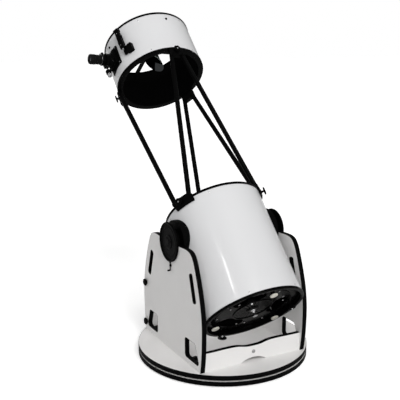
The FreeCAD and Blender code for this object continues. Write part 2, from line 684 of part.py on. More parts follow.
for tag, side in (("left", -1), ("right", 1)):
    outwards = (side, 0, 0)
    drum = cut("drum_saddle_" + tag,
               cyl("drum_" + tag, "dims.bearing_radius", DRUM_LENGTH, (side * DRUM_X, 0, 0),
                   outwards),
               cyl("drum_tool_" + tag, "dims.tube_radius", 2 * SADDLE_HALF, (0, 0, -SADDLE_HALF)))
    hub = cyl("hub_" + tag, "dims.hub_radius", HUB_LENGTH, (side * HUB_X, 0, 0), outwards)
    disc = turned("bearing_disc_" + tag, BEARING_DISC_PROFILE, (side * BEARING_DISC_X, 0, 0),
                  outwards)
    node(fuse("bearing_solid_" + tag, drum, hub, disc), "altitude_bearing_" + tag, TUBE)

# ------------------------------------------------- secondary mirror spider
SPIDER_PHI = (84.0, 174.0, 264.0, 354.0)
SPIDER_S, SPIDER_H = 1253.0, 36.0
SPIDER_HUB_R = 22.0
VANE_LENGTH, VANE_T, VANE_MID_R = 233.0, 1.6, 132.0
VANE_FOOT_T, VANE_FOOT_WIDTH, VANE_FOOT_R = 4.0, 18.0, 246.5

vanes = []
for i, phi in enumerate(SPIDER_PHI):
    vanes.append(box(f"vane{i}", (VANE_LENGTH, VANE_T, SPIDER_H),
                     polar(VANE_MID_R, phi, SPIDER_S), turn(-phi)))
    vanes.append(box(f"vane_foot{i}", (VANE_FOOT_T, VANE_FOOT_WIDTH, SPIDER_H),
                     polar(VANE_FOOT_R, phi, SPIDER_S), turn(-phi)))
spider_hub = cyl("spider_hub", SPIDER_HUB_R, SPIDER_H, (0, 0, SPIDER_S - SPIDER_H / 2))
# the vanes end on the inside of the tube wall
node(common("vane_trim", fuse("vane_fuse", spider_hub, *vanes),
            cyl("vane_bound", TUBE_INNER, 60.0, (0, 0, SPIDER_S - 30.0))), "spider", TUBE)

SECONDARY_T = 12.0
CAN_R, CAN_H, CAN_S = 40.0, 68.0, FOCUS_S + 6.0
NECK_R, NECK_H = 9.0, 9.0
WEDGE_T = 120.0
focus_point = Vector(0, 0, FOCUS_S)
mirror_normal = (radial(FOCUS_PHI) - UP).normalize()
mirror_turn = Rotation(UP, mirror_normal)

holder = fuse("holder_solid", cyl("holder_can", CAN_R, CAN_H, (0, 0, CAN_S)),
              cyl("holder_neck", NECK_R, NECK_H, (0, 0, SPIDER_S - SPIDER_H / 2 - NECK_H)))
# the 45 degree face: remove everything in front of the mirror's back plane
wedge = box("holder_wedge", (200.0, 200.0, WEDGE_T),
            focus_point + mirror_normal * (WEDGE_T / 2 - SECONDARY_T), mirror_turn)
node(cut("holder_cut", holder, wedge), "secondary_holder", TUBE)
blank = cyl("secondary_blank", "dims.secondary_radius", 160.0, (0, 0, FOCUS_S - 80.0))
slab = box("secondary_slab", (220.0, 220.0, SECONDARY_T),
           focus_point - mirror_normal * (SECONDARY_T / 2), mirror_turn)
node(common("secondary_cut", blank, slab), "secondary_mirror", TUBE)

# -------------------------------------------------------------- mirror cell
CELL_S = -420.0
CAPS, STARS = (87.0, 327.0, 207.0), (0.0, 120.0, 240.0)     # phi of the two knob sets
CAP_R, STAR_R, CLIP_R = 200.0, 212.0, 213.0
RIM_T, RIM_H = 4.0, 26.0
CELL_BOSS_R, CELL_BOSS_H = 24.0, 6.0
OPENING_INNER, OPENING_OUTER, OPENING_HALF = 108.0, 186.0, 17.0
VENTS, VENT_R, VENT_SIZE = 24, 62.0, (52.0, 4.5, 20.0)
SMALL_TAP_R = 3.05


def kidney(name, inner, outer, phi, half, station, height):
    """Arc-shaped slot tool with round ends."""
    band = cut(name + "_band", pie(name + "_o", outer, height, station, phi, half),
               cyl(name + "_i", inner, height + 2.0, (0, 0, station - 1.0)))
    middle, end_r = (inner + outer) / 2, (outer - inner) / 2
    return fuse(name, band, cyl(name + "_a", end_r, height, polar(middle, phi - half, station)),
                cyl(name + "_b", end_r, height, polar(middle, phi + half, station)))


def bores_at(name, radius, height, reach, angles, station):
    """Row of cylinders along Z, one at each phi."""
    return [cyl(f"{name}{i}", radius, height, polar(reach, phi, station))
            for i, phi in enumerate(angles)]


cell = fuse("cell_frame_solid",
            cyl("cell_disc", TUBE_INNER, "dims.cell_plate", (0, 0, CELL_S)),
            ring("cell_rim", TUBE_INNER, TUBE_INNER - RIM_T, RIM_H, (0, 0, CELL_S + 4.0)),
            cyl("cell_boss", CELL_BOSS_R, CELL_BOSS_H, (0, 0, CELL_S - 4.0)))
tools = [kidney(f"cell_opening{i}", OPENING_INNER, OPENING_OUTER, phi, OPENING_HALF,
                CELL_S - 2.0, 14.0) for i, phi in enumerate(STARS)]
tools += [box(f"vent{i}", VENT_SIZE, polar(VENT_R, 360.0 / VENTS * i, CELL_S + 4.0),
              turn(-360.0 / VENTS * i)) for i in range(VENTS)]
tools += bores_at("cap_tap", TAP_R, 30.0, CAP_R, CAPS, CELL_S - 6.0)
tools += bores_at("star_tap", TAP_R, 30.0, STAR_R, STARS, CELL_S - 6.0)
tools.append(cyl("centre_tap", SMALL_TAP_R, 30.0, (0, 0, CELL_S - 10.0)))
node(cut("cell_frame_cut", cell, *tools), "cell_frame", TUBE)

# tray under the mirror, with a lug over each knob
TRAY_S, TRAY_R, TRAY_T = -388.0, 196.0, 10.0
LUG_SIZE = (60.0, 36.0, TRAY_T)
TRAY_HOLE_R, TRAY_HOLE_REACH = 34.0, 118.0
TRAY_HOLE_PHI = range(57, 360, 60)
tray = fuse("tray_solid", cyl("tray_disc", TRAY_R, TRAY_T, (0, 0, TRAY_S)),
            *[box(f"tray_lug{i}", LUG_SIZE, polar(TRAY_R, phi, TRAY_S + TRAY_T / 2), turn(-phi))
              for i, phi in enumerate(CAPS + STARS)])
tools = bores_at("tray_hole", TRAY_HOLE_R, 14.0, TRAY_HOLE_REACH, TRAY_HOLE_PHI, TRAY_S - 2.0)
tools += bores_at("tray_thread", TAP_R, 16.0, CAP_R, CAPS, TRAY_S - 2.0)
tools += bores_at("clip_hole", SMALL_TAP_R, 16.0, CLIP_R, CAPS, TRAY_S - 2.0)
node(cut("tray_cut", tray, *tools), "mirror_tray", TUBE)

# primary mirror, hollowed by a sphere that meets the edge of its top face
MIRROR_S = TRAY_S + TRAY_T
MIRROR_TOP = MIRROR_S + DIMS["mirror_thick"]
CURVE = DIMS["mirror_curve"]
sag = CURVE - math.sqrt(CURVE ** 2 - DIMS["mirror_radius"] ** 2)
glass = cyl("mirror_blank", "dims.mirror_radius", "dims.mirror_thick", (0, 0, MIRROR_S))
ball = doc.addObject("Part::Sphere", "mirror_figure")
ball.setExpression("Radius", "dims.mirror_curve")
put(ball, (0, 0, MIRROR_TOP - sag + CURVE))
node(cut("mirror_cut", glass, ball), "primary_mirror", TUBE)

CLIP_POST_R, CLIP_POST_H, CLIP_SLEEVE_R = 3.0, 50.0, 6.0
CLIP_ARM, CLIP_ARM_R = (28.0, 14.0, 3.0), 206.0
clips = []
for i, phi in enumerate(CAPS):
    post = cyl(f"clip_post{i}", CLIP_POST_R, CLIP_POST_H, polar(CLIP_R, phi, TRAY_S + 2.0))
    sleeve = cyl(f"clip_sleeve{i}", CLIP_SLEEVE_R, DIMS["mirror_thick"] + 0.5,
                 polar(CLIP_R, phi, MIRROR_S))
    arm = box(f"clip_arm{i}", CLIP_ARM, polar(CLIP_ARM_R, phi, MIRROR_TOP + 2.0), turn(-phi))
    clips.append(fuse(f"clip{i}", post, sleeve, arm))
node(group("clip_set", *clips), "mirror_clips", TUBE)

SPRING_R, SPRING_WIRE_R, SPRING_PITCH, SPRING_H = 7.6, 1.1, 4.6, 20.0
springs = []
for i, phi in enumerate(CAPS):
    helix = doc.addObject("Part::Helix", f"spring_path{i}")
    helix.Pitch, helix.Height, helix.Radius = SPRING_PITCH, SPRING_H, SPRING_R
    wire = doc.addObject("Part::Circle", f"spring_wire{i}")
    wire.Radius = SPRING_WIRE_R
    wire.Placement = Placement(Vector(SPRING_R, 0, 0), Rotation(Vector(1, 0, 0), 90))
    spring = doc.addObject("Part::Sweep", f"spring{i}")
    spring.Sections = [wire]
    spring.Spine = (helix, ["Edge1"])
    spring.Solid = True
    spring.Frenet = True
    spring.Placement = Placement(polar(CAP_R, phi, CELL_S + 10.0), Rotation())
    springs.append(spring)
node(group("spring_set", *springs), "collimation_springs", TUBE)

# knobs under the cell, their local Z pointing away from the sky
CAP_STEM, STAR_STEM = 43.5, 36.3
CAP_PROFILE = [(0, 0), (9.0, 0), (10.5, 1.5), (10.5, 18.0), (19.5, 20.0), (19.5, 26.0),
               (18.0, 27.5), (0, 27.5)]
STAR_PROFILE = [(0, 0), (7.0, 0), (7.0, 16.0), (8.0, 18.0), (19.0, 20.0), (20.0, 22.0),
                (20.0, 32.0), (18.0, 34.5), (5.0, 34.5), (4.2, 39.0), (0, 39.5)]
THUMB_NUT_PROFILE = [(0, -4), (3.0, -4), (3.0, 0), (12.0, 0), (12.0, 2.5), (3.4, 14.0),
                     (3.4, 16.0), (12.5, 30.0), (12.5, 33.0), (0, 33.0)]


def below_cell(radius, phi, drop):
    return TUBE.multiply(Placement(polar(radius, phi, CELL_S - drop),
                                   Rotation(Vector(1, 0, 0), 180)))


for tag, phi in zip("abc", CAPS):
    knob = fuse("cap_" + tag, turned("cap_head_" + tag, CAP_PROFILE),
                cyl("cap_stem_" + tag, SHANK_R, CAP_STEM + 0.5, (0, 0, -CAP_STEM)))
    node(knob, "collimation_knob_" + tag, below_cell(CAP_R, phi, 4.0))
for tag, phi in zip("abc", STARS):
    solid = fuse("star_solid_" + tag, turned("star_head_" + tag, STAR_PROFILE),
                 cyl("star_stem_" + tag, SHANK_R, STAR_STEM + 0.5, (0, 0, -STAR_STEM)))
    bites = grip_bites("star_bites_" + tag, "star_bite_" + tag, radius=5.6, height=20.0,
                       reach=22.5, z=18.5)
    node(cut("star_" + tag, solid, bites), "lock_knob_" + tag, below_cell(STAR_R, phi, 4.5))
node(turned("centre_nut_solid", THUMB_NUT_PROFILE), "centre_thumb_nut", below_cell(0, 0, 4.2))

# ------------------------------------------------------------------ focuser
# Focuser frame: see side_frame; heights are radii from the optical axis.
SADDLE_SIZE, SADDLE_Z, SADDLE_T = (120.0, 114.0, 40.0), 248.0, 7.0
PEDESTAL_SIZE, PEDESTAL_Z = (88.0, 84.0, 30.0), 257.0
saddle = common("saddle_plate", box("saddle_box", SADDLE_SIZE, (0, 0, SADDLE_Z)),
                ring("saddle_ring", TUBE_R + SADDLE_T, TUBE_R, 140.0, (-70.0, 0, 0), X_AXIS))
pedestal = cut("pedestal_cut", box("pedestal", PEDESTAL_SIZE, (0, 0, PEDESTAL_Z)),
               cyl("pedestal_tool", TUBE_R + SADDLE_T - 1.0, 140.0, (-70.0, 0, 0), X_AXIS))
node(cut("focuser_base_cut", fuse("focuser_base_solid", saddle, pedestal),
         cyl("focuser_base_bore", PORT_R, 60.0, (0, 0, 220.0))), "focuser_base", FOCUS)

BODY_Z = DIMS_BODY_Z = 272.0
BARREL_R, BARREL_H = 35.0, 40.0
FLANGE_R, FLANGE_H = 41.0, 8.0
COLLAR_R, COLLAR_H = 36.5, 5.0
DRAW_R = DIMS["drawtube_radius"]
HOUSING_SIZE = (50.0, 24.0, 26.0)
SHAFT_Y, SHAFT_Z = 32.05, 294.0
SLIDE_GAP = 0.05
body = fuse("focuser_body_solid", cyl("focuser_barrel", BARREL_R, BARREL_H, (0, 0, BODY_Z)),
            cyl("focuser_flange", FLANGE_R, FLANGE_H, (0, 0, BODY_Z)),
            cyl("focuser_collar", COLLAR_R, COLLAR_H, (0, 0, BODY_Z + BARREL_H - COLLAR_H)),
            box("pinion_housing", HOUSING_SIZE, (0, SHAFT_Y, SHAFT_Z)))
node(cut("focuser_body_cut", body,
         cyl("focuser_body_bore", DRAW_R + SLIDE_GAP, 50.0, (0, 0, BODY_Z - 2.0)),
         cyl("shaft_bore", DIMS["focus_shaft_radius"] + SLIDE_GAP, 80.0,
             (-40.0, SHAFT_Y, SHAFT_Z), X_AXIS)), "focuser_body", FOCUS)

PIPE_Z, PIPE_LENGTH = 258.0, 72.0
LOCK_Z, LOCK_R = 329.0, 2.0
DRAW_HEAD_PROFILE = [(0, 322), (30.5, 322), (32.0, 323.5), (32.0, 334.5), (30.5, 336), (0, 336)]
EYEPIECE_PROFILE = [
    (0, 306), (25.4, 306), (25.4, 336), (26.5, 336), (26.5, 345), (25.0, 346), (25.0, 350),
    (26.5, 351), (26.5, 355), (25.0, 356), (25.0, 360), (26.5, 361), (26.5, 372), (28.0, 374),
    (28.0, 399), (26.0, 403), (17.0, 403), (11.0, 396), (0, 396)]
drawtube = fuse("drawtube_solid",
                cyl("drawtube_pipe", "dims.drawtube_radius", PIPE_LENGTH, (0, 0, PIPE_Z)),
                turned("drawtube_head", DRAW_HEAD_PROFILE))
node(cut("drawtube_cut", drawtube,
         cyl("drawtube_bore", "dims.eyepiece_bore", 90.0, (0, 0, PIPE_Z - 6.0)),
         cyl("lock_tap", LOCK_R + SLIDE_GAP, 16.0, (20.0, 0, LOCK_Z), X_AXIS)), "drawtube", FOCUS)
node(turned("eyepiece_solid", EYEPIECE_PROFILE), "eyepiece", FOCUS)
node(fuse("eyepiece_lock",
          cyl("eyepiece_lock_shank", LOCK_R, 15.0, (25.6, 0, LOCK_Z), X_AXIS),
          cyl("eyepiece_lock_head", 4.5, 7.0, (37.0, 0, LOCK_Z), X_AXIS)),
     "eyepiece_lock_screw", FOCUS)

# knobs on the focus shaft, which lies along X
SHAFT_START, SHAFT_END = -72.0, 60.0
FINE_X = -73.0
COARSE_PROFILE = [(0, 0), (11.0, 0), (15.0, 1.5), (15.0, 24.0), (13.0, 26.0), (0, 26.0)]
FAR_PROFILE = [(0, 0), (6.5, 0), (8.0, 1.0), (8.0, 22.0), (6.5, 24.0), (0, 24.0)]
FINE_PROFILE = [(0, 0), (9.5, 0), (11.5, 1.5), (11.5, 15.0), (10.0, 17.0), (5.0, 17.0),
                (5.0, 18.5), (0, 18.5)]
TO_MINUS_X = Rotation(UP, Vector(-1, 0, 0))
coarse = fuse("coarse_solid",
              cyl("coarse_shaft", "dims.focus_shaft_radius", SHAFT_END - SHAFT_START,
                  (SHAFT_START, 0, 0), X_AXIS),
              turned("coarse_knob", COARSE_PROFILE, (SHAFT_START, 0, 0), X_AXIS),
              turned("coarse_far_knob", FAR_PROFILE, (SHAFT_END, 0, 0), X_AXIS))
node(coarse, "coarse_focus_knobs",
     FOCUS.multiply(Placement(Vector(0, SHAFT_Y, SHAFT_Z), Rotation())))
node(turned("fine_solid", FINE_PROFILE), "fine_focus_knob",
     FOCUS.multiply(Placement(Vector(FINE_X, SHAFT_Y, SHAFT_Z), TO_MINUS_X)))

# ------------------------------------------------------------------- finder
FINDER = TUBE.multiply(side_frame(148.6, 1200.0))
DIAL_AT = Vector(-66.2, 0, 279.0)
# name, size, centre
SHOE_BOXES = (("shoe_box", (48.0, 36.0, 24.0), (-80.0, -32.0, 261.0)),
              ("shoe_bridge", (44.0, 40.0, 10.0), (-76.0, -10.0, 262.0)))
FINDER_BOXES = (("finder_bar", (134.0, 27.0, 22.0), (1.0, 0, 278.5)),
                ("finder_head", (16.0, 31.0, 28.0), (60.0, 0, 280.0)),
                ("finder_bump", (14.0, 8.0, 10.0), (8.0, -17.0, 281.0)),
                ("finder_foot", (60.0, 20.0, 12.0), (-10.0, 0, 262.0)))


def on_tube(name, boxes, tool_name):
    """Fused boxes with the tube's own cylinder cut away."""
    return cut(name + "_cut", fuse(name + "_solid", *[box(*entry) for entry in boxes]),
               cyl(tool_name, TUBE_R, 400.0, (-200.0, 0, 0), X_AXIS))


node(on_tube("finder_shoe", SHOE_BOXES, "shoe_tool"), "finder_shoe", FINDER)
node(on_tube("finder_body", FINDER_BOXES, "finder_tool"), "finder_body", FINDER)
node(fuse("finder_screw_solid", cyl("finder_screw_shank", radius=2.5, height=4.0),
          cyl("finder_screw_head", radius=6.5, height=9.0, at=(0, 0, 3.0))),
     "finder_dial", FINDER.multiply(Placement(DIAL_AT, TO_MINUS_X)))

# --------------------------------------------------- small screws on the tube
# rows of six screws: station, phi of the first
SCREW_ROWS = ((121.0, 118.2), (-418.0, 118.2), (1272.0, 120.4), (1052.0, 118.2))
BRACKET_ROW = 0                 # this row leaves out the screws near the lower brackets
ADJUSTER_REACH, ADJUSTER_PHASE = 14, 24
HUB_TOP = SPIDER_S + SPIDER_H / 2


def near_bracket(phi):
    return min(abs((phi - c + 180) % 360 - 180) for c in LOW_PHI) < 16.0


screws = []
for i in range(6):
    for k, (station, first_phi) in enumerate(SCREW_ROWS):
        phi = first_phi + 60.0 * i
        if k == BRACKET_ROW and near_bracket(phi):
            continue
        screws.append(radial_cyl(f"screw{k}_{i}", 3.2, 1.8, TUBE_R, phi, station))
for i, phi in enumerate(SPIDER_PHI):
    screws.append(radial_cyl(f"spider_bolt{i}", 6.5, 4.5, TUBE_R, phi, SPIDER_S))
for i, phi in enumerate(UP_PHI):
    for side in (-1, 1):
        screws.append(radial_cyl(f"pole_bolt{i}{side + 1}", 4.5, 3.5, UP_BLOCK_R,
                                 phi + side * 6.2, 988.0))
# three adjusters on top of the spider hub
for i in range(3):
    angle = 120 * i + ADJUSTER_PHASE
    screws.append(fuse(
        f"adjuster{i}",
        cyl(f"adjuster_head{i}", 4.5, 7.0, around(ADJUSTER_REACH, angle, HUB_TOP)),
        cyl(f"adjuster_rim{i}", 5.5, 3.0, around(ADJUSTER_REACH, angle, HUB_TOP + 4.0))))
node(group("tube_screw_set", *screws), "tube_screws", TUBE)

# ------------------------------------------------------------------- export
doc.recompute()
bad = []
for obj in doc.Objects:
    if "Invalid" in obj.State or "Error" in obj.State:
        bad.append(obj.Name + " state " + ",".join(obj.State))
    if hasattr(obj, "Shape"):
        if obj.Shape.isNull():
            bad.append(obj.Name + " null")
        elif obj.TypeId.startswith("Part") and not obj.Shape.isValid():
            bad.append(obj.Name + " invalid")
for name, obj in nodes:
    if not obj.Shape.Solids:
        bad.append(name + " has no solid")
if bad:
    raise RuntimeError("; ".join(bad[:20]))
for name, obj in nodes:
    obj.Shape.exportStep(f"parts/{name}.step")
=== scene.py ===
# A Dobsonian reflector telescope: a white tube in a white rocker box.
# +Z is up and the front is -Y. The tube turns on an axis along X, PIVOT above the floor,
# and leans back so that its mouth points up and towards +Y.
# Pieces are sized in millimetres; materials, lights and the camera work in metres.
import json
from math import asin, cos, degrees, pi, radians, sin, sqrt

import bmesh
import bpy
from mathutils import Matrix, Vector

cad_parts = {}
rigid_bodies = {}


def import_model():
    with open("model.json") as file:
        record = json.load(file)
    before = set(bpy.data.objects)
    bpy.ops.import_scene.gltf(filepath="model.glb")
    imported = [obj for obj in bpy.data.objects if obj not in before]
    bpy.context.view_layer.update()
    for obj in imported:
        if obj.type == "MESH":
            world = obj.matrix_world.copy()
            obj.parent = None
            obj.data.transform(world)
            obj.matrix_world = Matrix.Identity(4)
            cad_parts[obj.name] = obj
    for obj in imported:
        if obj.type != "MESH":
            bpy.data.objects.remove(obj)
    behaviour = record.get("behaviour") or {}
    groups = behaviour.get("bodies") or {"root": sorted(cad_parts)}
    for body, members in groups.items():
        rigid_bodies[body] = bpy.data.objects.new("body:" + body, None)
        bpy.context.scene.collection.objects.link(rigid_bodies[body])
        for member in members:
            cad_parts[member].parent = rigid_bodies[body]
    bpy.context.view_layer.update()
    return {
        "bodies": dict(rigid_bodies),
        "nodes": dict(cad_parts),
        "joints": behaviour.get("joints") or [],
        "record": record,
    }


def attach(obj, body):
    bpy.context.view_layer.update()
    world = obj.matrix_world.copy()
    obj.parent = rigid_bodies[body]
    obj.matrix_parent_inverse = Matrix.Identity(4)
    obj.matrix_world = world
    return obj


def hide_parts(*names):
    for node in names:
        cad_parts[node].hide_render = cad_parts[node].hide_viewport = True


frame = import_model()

# ------------------------------------------------------------------ driving sizes
MM = 0.001
PIVOT = 622.0
TUBE_LEAN = -44.04
TUBE_RADIUS = 252.0

# Stations run up the optical axis from the pivot; angles are degrees round the tube.
CELL_FACE = -420.0  # outer face of the mirror cell
FOCUSER_ANGLE, FOCUSER_STATION = 174.0, 1154.0
FINDER_ANGLE, FINDER_STATION = 148.6, 1200.0
LOWER_CLAMP_ANGLES = (151.2, 31.2, 271.2)
UPPER_CLAMP_ANGLES = (209.1, 89.1, 329.1)
VANE_ANGLES = (84.0, 174.0, 264.0, 354.0)
COLLIMATION_RADIUS, COLLIMATION_ANGLES = 200.0, (87.0, 327.0, 207.0)
LOCK_RADIUS, LOCK_ANGLES = 212.0, (0.0, 120.0, 240.0)

FOCUS_AXLE_Y, FOCUS_AXLE_Z = 32.05, 294.0  # in the focuser's frame
FINDER_SIGHT_Z = 281.0  # in the finder's frame
SIDE_PANEL_X = 294.0  # outer face of a rocker side


# ------------------------------------------------------------------ frames
def turn(angle, axis):
    return Matrix.Rotation(radians(angle), 4, axis)


def move(x, y, z):
    return Matrix.Translation((x, y, z))


def around(radius, angle, z):
    """Shift to a place on a circle about Z."""
    return move(radius * cos(radians(angle)), radius * sin(radians(angle)), z)


def axes(x_axis, y_axis, z_axis, origin):
    matrix = Matrix((x_axis, y_axis, z_axis)).transposed().to_4x4()
    matrix.translation = origin
    return matrix


TUBE = move(0, 0, PIVOT) @ turn(TUBE_LEAN, "X")
OPTICAL_AXIS = (TUBE.to_3x3() @ Vector((0, 0, 1))).normalized()


def outward(angle):
    return Vector((cos(radians(angle)), -sin(radians(angle)), 0))


def tube_point(radius, angle, station):
    out = outward(angle) * radius
    return Vector((out.x, out.y, station))


def wall_frame(radius, angle, station, roll=0):
    """X up the optical axis, Z radially outwards, then rolled about Z."""
    out = outward(angle)
    place = axes((0, 0, 1), (out.y, -out.x, 0), out, tube_point(radius, angle, station))
    return TUBE @ place @ turn(roll, "Z")


def rear_frame(radius, angle, station, roll=0):
    """Z down the optical axis, out of the mirror end."""
    place = Matrix.Translation(tube_point(radius, angle, station))
    return TUBE @ place @ turn(180, "X") @ turn(roll, "Z")


IDENTITY = Matrix()
FOCUSER = wall_frame(0, FOCUSER_ANGLE, FOCUSER_STATION)
FINDER = wall_frame(0, FINDER_ANGLE, FINDER_STATION)


# ------------------------------------------------------------------ shader nodes
def feed(tree, socket, value):
    """Links a socket or sets a value; a colour may leave out its alpha."""
    if isinstance(value, bpy.types.NodeSocket):
        tree.links.new(value, socket)
    elif isinstance(value, tuple) and socket.type == "RGBA":
        socket.default_value = (*value, 1.0)
    else:
        socket.default_value = value


def add_node(tree, kind, inputs=None, **settings):
    node = tree.nodes.new(kind)
    for key, value in settings.items():
        setattr(node, key, value)
    for key, value in (inputs or {}).items():
        feed(tree, node.inputs[key], value)
    return node


class Finish:
    """A principled material with the node chains the finishes share."""

    INPUTS = {
        "color": "Base Color", "metal": "Metallic", "rough": "Roughness",
        "spec": "Specular IOR Level", "coat": "Coat Weight", "coat_rough": "Coat Roughness",
        "emit_color": "Emission Color", "emit": "Emission Strength",
    }

    def __init__(self, name):
        self.material = bpy.data.materials.new(name)
        self.material.use_nodes = True
        self.tree = self.material.node_tree
        self.tree.nodes.clear()
        output = self.node("ShaderNodeOutputMaterial")
        self.shader = self.node("ShaderNodeBsdfPrincipled")
        self.tree.links.new(self.shader.outputs[0], output.inputs[0])
        self.coords = self.node("ShaderNodeTexCoord").outputs["Object"]
        self.normal = None

    def node(self, kind, inputs=None, **settings):
        return add_node(self.tree, kind, inputs, **settings)

    def set(self, **values):
        for key, value in values.items():
            feed(self.tree, self.shader.inputs[self.INPUTS[key]], value)

    def stretched(self, scale):
        inputs = {"Vector": self.coords, "Scale": scale}
        return self.node("ShaderNodeMapping", inputs).outputs[0]

    def noise(self, scale, detail=3.0, rough=0.55, coords=None):
        return self.node("ShaderNodeTexNoise", {
            "Vector": self.coords if coords is None else coords,
            "Scale": scale, "Detail": detail, "Roughness": rough,
        }).outputs[0]

    def ramp(self, value, low=0.0, high=1.0, start=0.3, end=0.7):
        """Maps start..end to low..high."""
        inputs = {0: value, 1: start, 2: end, 3: low, 4: high}
        return self.node("ShaderNodeMapRange", inputs).outputs[0]

    def calc(self, operation, a, b):
        return self.node("ShaderNodeMath", {0: a, 1: b}, operation=operation).outputs[0]

    def offset(self, mask, by, base):
        """The base, plus `by` where the mask is 1."""
        return self.calc("ADD", self.calc("MULTIPLY", mask, by), base)

    def vector(self, operation, a, b=(0, 0, 0)):
        node = self.node("ShaderNodeVectorMath", {0: a, 1: b}, operation=operation)
        return node.outputs["Value" if operation in ("LENGTH", "DOT_PRODUCT") else 0]

    def mix(self, factor, first, second):
        # 6, 7 and output 2 are the mix node's colour sockets.
        inputs = {"Factor": factor, 6: first, 7: second}
        return self.node("ShaderNodeMix", inputs, data_type="RGBA").outputs[2]

    def mottle(self, pattern, first, second, **ramp):
        return self.mix(self.ramp(pattern, **ramp), first, second)

    def spots(self, scale, start, end):
        return self.ramp(self.noise(scale, detail=4.0, rough=0.6), start=start, end=end)

    def dab(self, mask, amount, color, tint):
        return self.mix(self.calc("MULTIPLY", mask, amount), color, tint)

    def edge(self, radius):
        """1 on an edge and 0 on flats, from the spread of the rounded normal."""
        rounded_normal = self.node("ShaderNodeBevel", {"Radius": radius}, samples=6).outputs[0]
        normal = self.node("ShaderNodeNewGeometry").outputs["True Normal"]
        agreement = self.vector("DOT_PRODUCT", rounded_normal, normal)
        return self.ramp(agreement, start=0.995, end=0.86)

    def worn(self, color, radius, scale, start, end, tone):
        """Patches of paler grey along the edges."""
        wear = self.calc("MULTIPLY", self.edge(radius), self.spots(scale, start, end))
        return self.dab(wear, 0.12, color, (tone, tone, tone))

    def bump(self, height, strength, distance):
        inputs = {"Strength": strength, "Distance": distance, "Height": height}
        if self.normal is not None:
            inputs["Normal"] = self.normal
        self.normal = self.node("ShaderNodeBump", inputs).outputs[0]
        feed(self.tree, self.shader.inputs["Normal"], self.normal)


def dimmed(color, factor):
    return tuple(channel * factor for channel in color)


# ------------------------------------------------------------------ finishes
def laminate(name):
    base = (0.81, 0.801, 0.793)
    mat = Finish(name)
    cloud = mat.noise(scale=5.0, detail=2.0)
    pearl = mat.noise(scale=1500.0, detail=2.0, rough=0.5)
    dust = mat.spots(scale=60.0, start=0.62, end=0.78)
    color = mat.mottle(cloud, base, dimmed(base, 0.965))
    color = mat.mottle(pearl, color, dimmed(base, 0.86), high=0.12, start=0.35, end=0.65)
    color = mat.dab(dust, 0.10, color, (0.62, 0.60, 0.56))
    mat.set(color=color, rough=mat.ramp(mat.noise(scale=220.0), low=0.36, high=0.50), spec=0.4)
    mat.bump(pearl, strength=0.16, distance=0.0004)
    mat.bump(mat.noise(scale=45.0, detail=2.0), strength=0.05, distance=0.001)
    return mat.material


def edge_band(name):
    mat = Finish(name)
    grain = mat.noise(scale=900.0, detail=2.0)
    color = mat.mottle(grain, (0.0012, 0.0012, 0.0013), (0.0024, 0.0024, 0.0026))
    color = mat.worn(color, radius=0.0012, scale=26.0, start=0.50, end=0.72, tone=0.07)
    mat.set(color=color, rough=mat.ramp(mat.noise(scale=90.0), low=0.42, high=0.58), spec=0.025)
    mat.bump(grain, strength=0.2, distance=0.0003)
    return mat.material


def from_pivot(mat):
    return mat.vector("SUBTRACT", mat.coords, (0.0, 0.0, PIVOT / 1000))


def axis_distance(mat, point):
    """Metres from the optical axis."""
    return mat.vector("LENGTH", mat.vector("CROSS_PRODUCT", point, tuple(OPTICAL_AXIS)))


def tube_skin(name):
    """Gloss white enamel outside, flat black paint inside."""
    mat = Finish(name)
    outside = mat.calc("GREATER_THAN", axis_distance(mat, from_pivot(mat)), 0.2513)
    peel = mat.noise(scale=420.0, detail=2.0, rough=0.5)
    cloud = mat.noise(scale=3.2, detail=2.0)
    white = mat.mottle(cloud, (0.715, 0.717, 0.726), (0.70, 0.702, 0.712))
    dust = mat.spots(scale=70.0, start=0.66, end=0.80)
    white = mat.dab(dust, 0.06, white, (0.6, 0.59, 0.56))
    paint = mat.noise(scale=300.0)
    black = mat.mottle(paint, (0.0012, 0.0012, 0.0013), (0.0026, 0.0026, 0.0027))
    mat.set(color=mat.mix(outside, black, white))
    # Rough and dull inside, smooth and coated outside.
    rough = mat.offset(outside, by=-0.58, base=0.80)
    smear = mat.ramp(mat.noise(scale=35.0), low=-0.03, high=0.05)
    mat.set(
        rough=mat.calc("ADD", rough, smear),
        spec=mat.offset(outside, by=0.42, base=0.02),
        coat=mat.calc("MULTIPLY", outside, 0.45),
        coat_rough=0.07,
    )
    mat.bump(peel, strength=0.06, distance=0.0003)
    mat.bump(mat.noise(scale=9.0, detail=1.0), strength=0.10, distance=0.002)
    return mat.material


def gloss_black(name, base, rough, spec):
    mat = Finish(name)
    pale = (base * 1.7, base * 1.7, base * 1.75)
    color = mat.mottle(mat.noise(scale=30.0), (base, base, base * 1.05), pale)
    color = mat.worn(color, radius=0.0008, scale=34.0, start=0.52, end=0.74, tone=0.10)
    sheen = mat.ramp(mat.noise(scale=70.0), low=rough - 0.05, high=rough + 0.08)
    mat.set(color=color, rough=sheen, spec=spec, coat_rough=0.12)
    mat.bump(mat.noise(scale=380.0, detail=2.0), strength=0.10, distance=0.0004)
    return mat.material


def satin_black(name, base, rough, grain, spec):
    mat = Finish(name)
    texture = mat.noise(scale=grain, detail=2.0, rough=0.6)
    color = mat.mottle(texture, (base, base, base), (base * 1.8, base * 1.8, base * 1.85))
    color = mat.worn(color, radius=0.0009, scale=40.0, start=0.50, end=0.70, tone=0.09)
    sheen = mat.ramp(mat.noise(scale=80.0), low=rough - 0.07, high=rough + 0.09)
    mat.set(color=color, rough=sheen, spec=spec)
    mat.bump(texture, strength=0.22, distance=0.0004)
    return mat.material


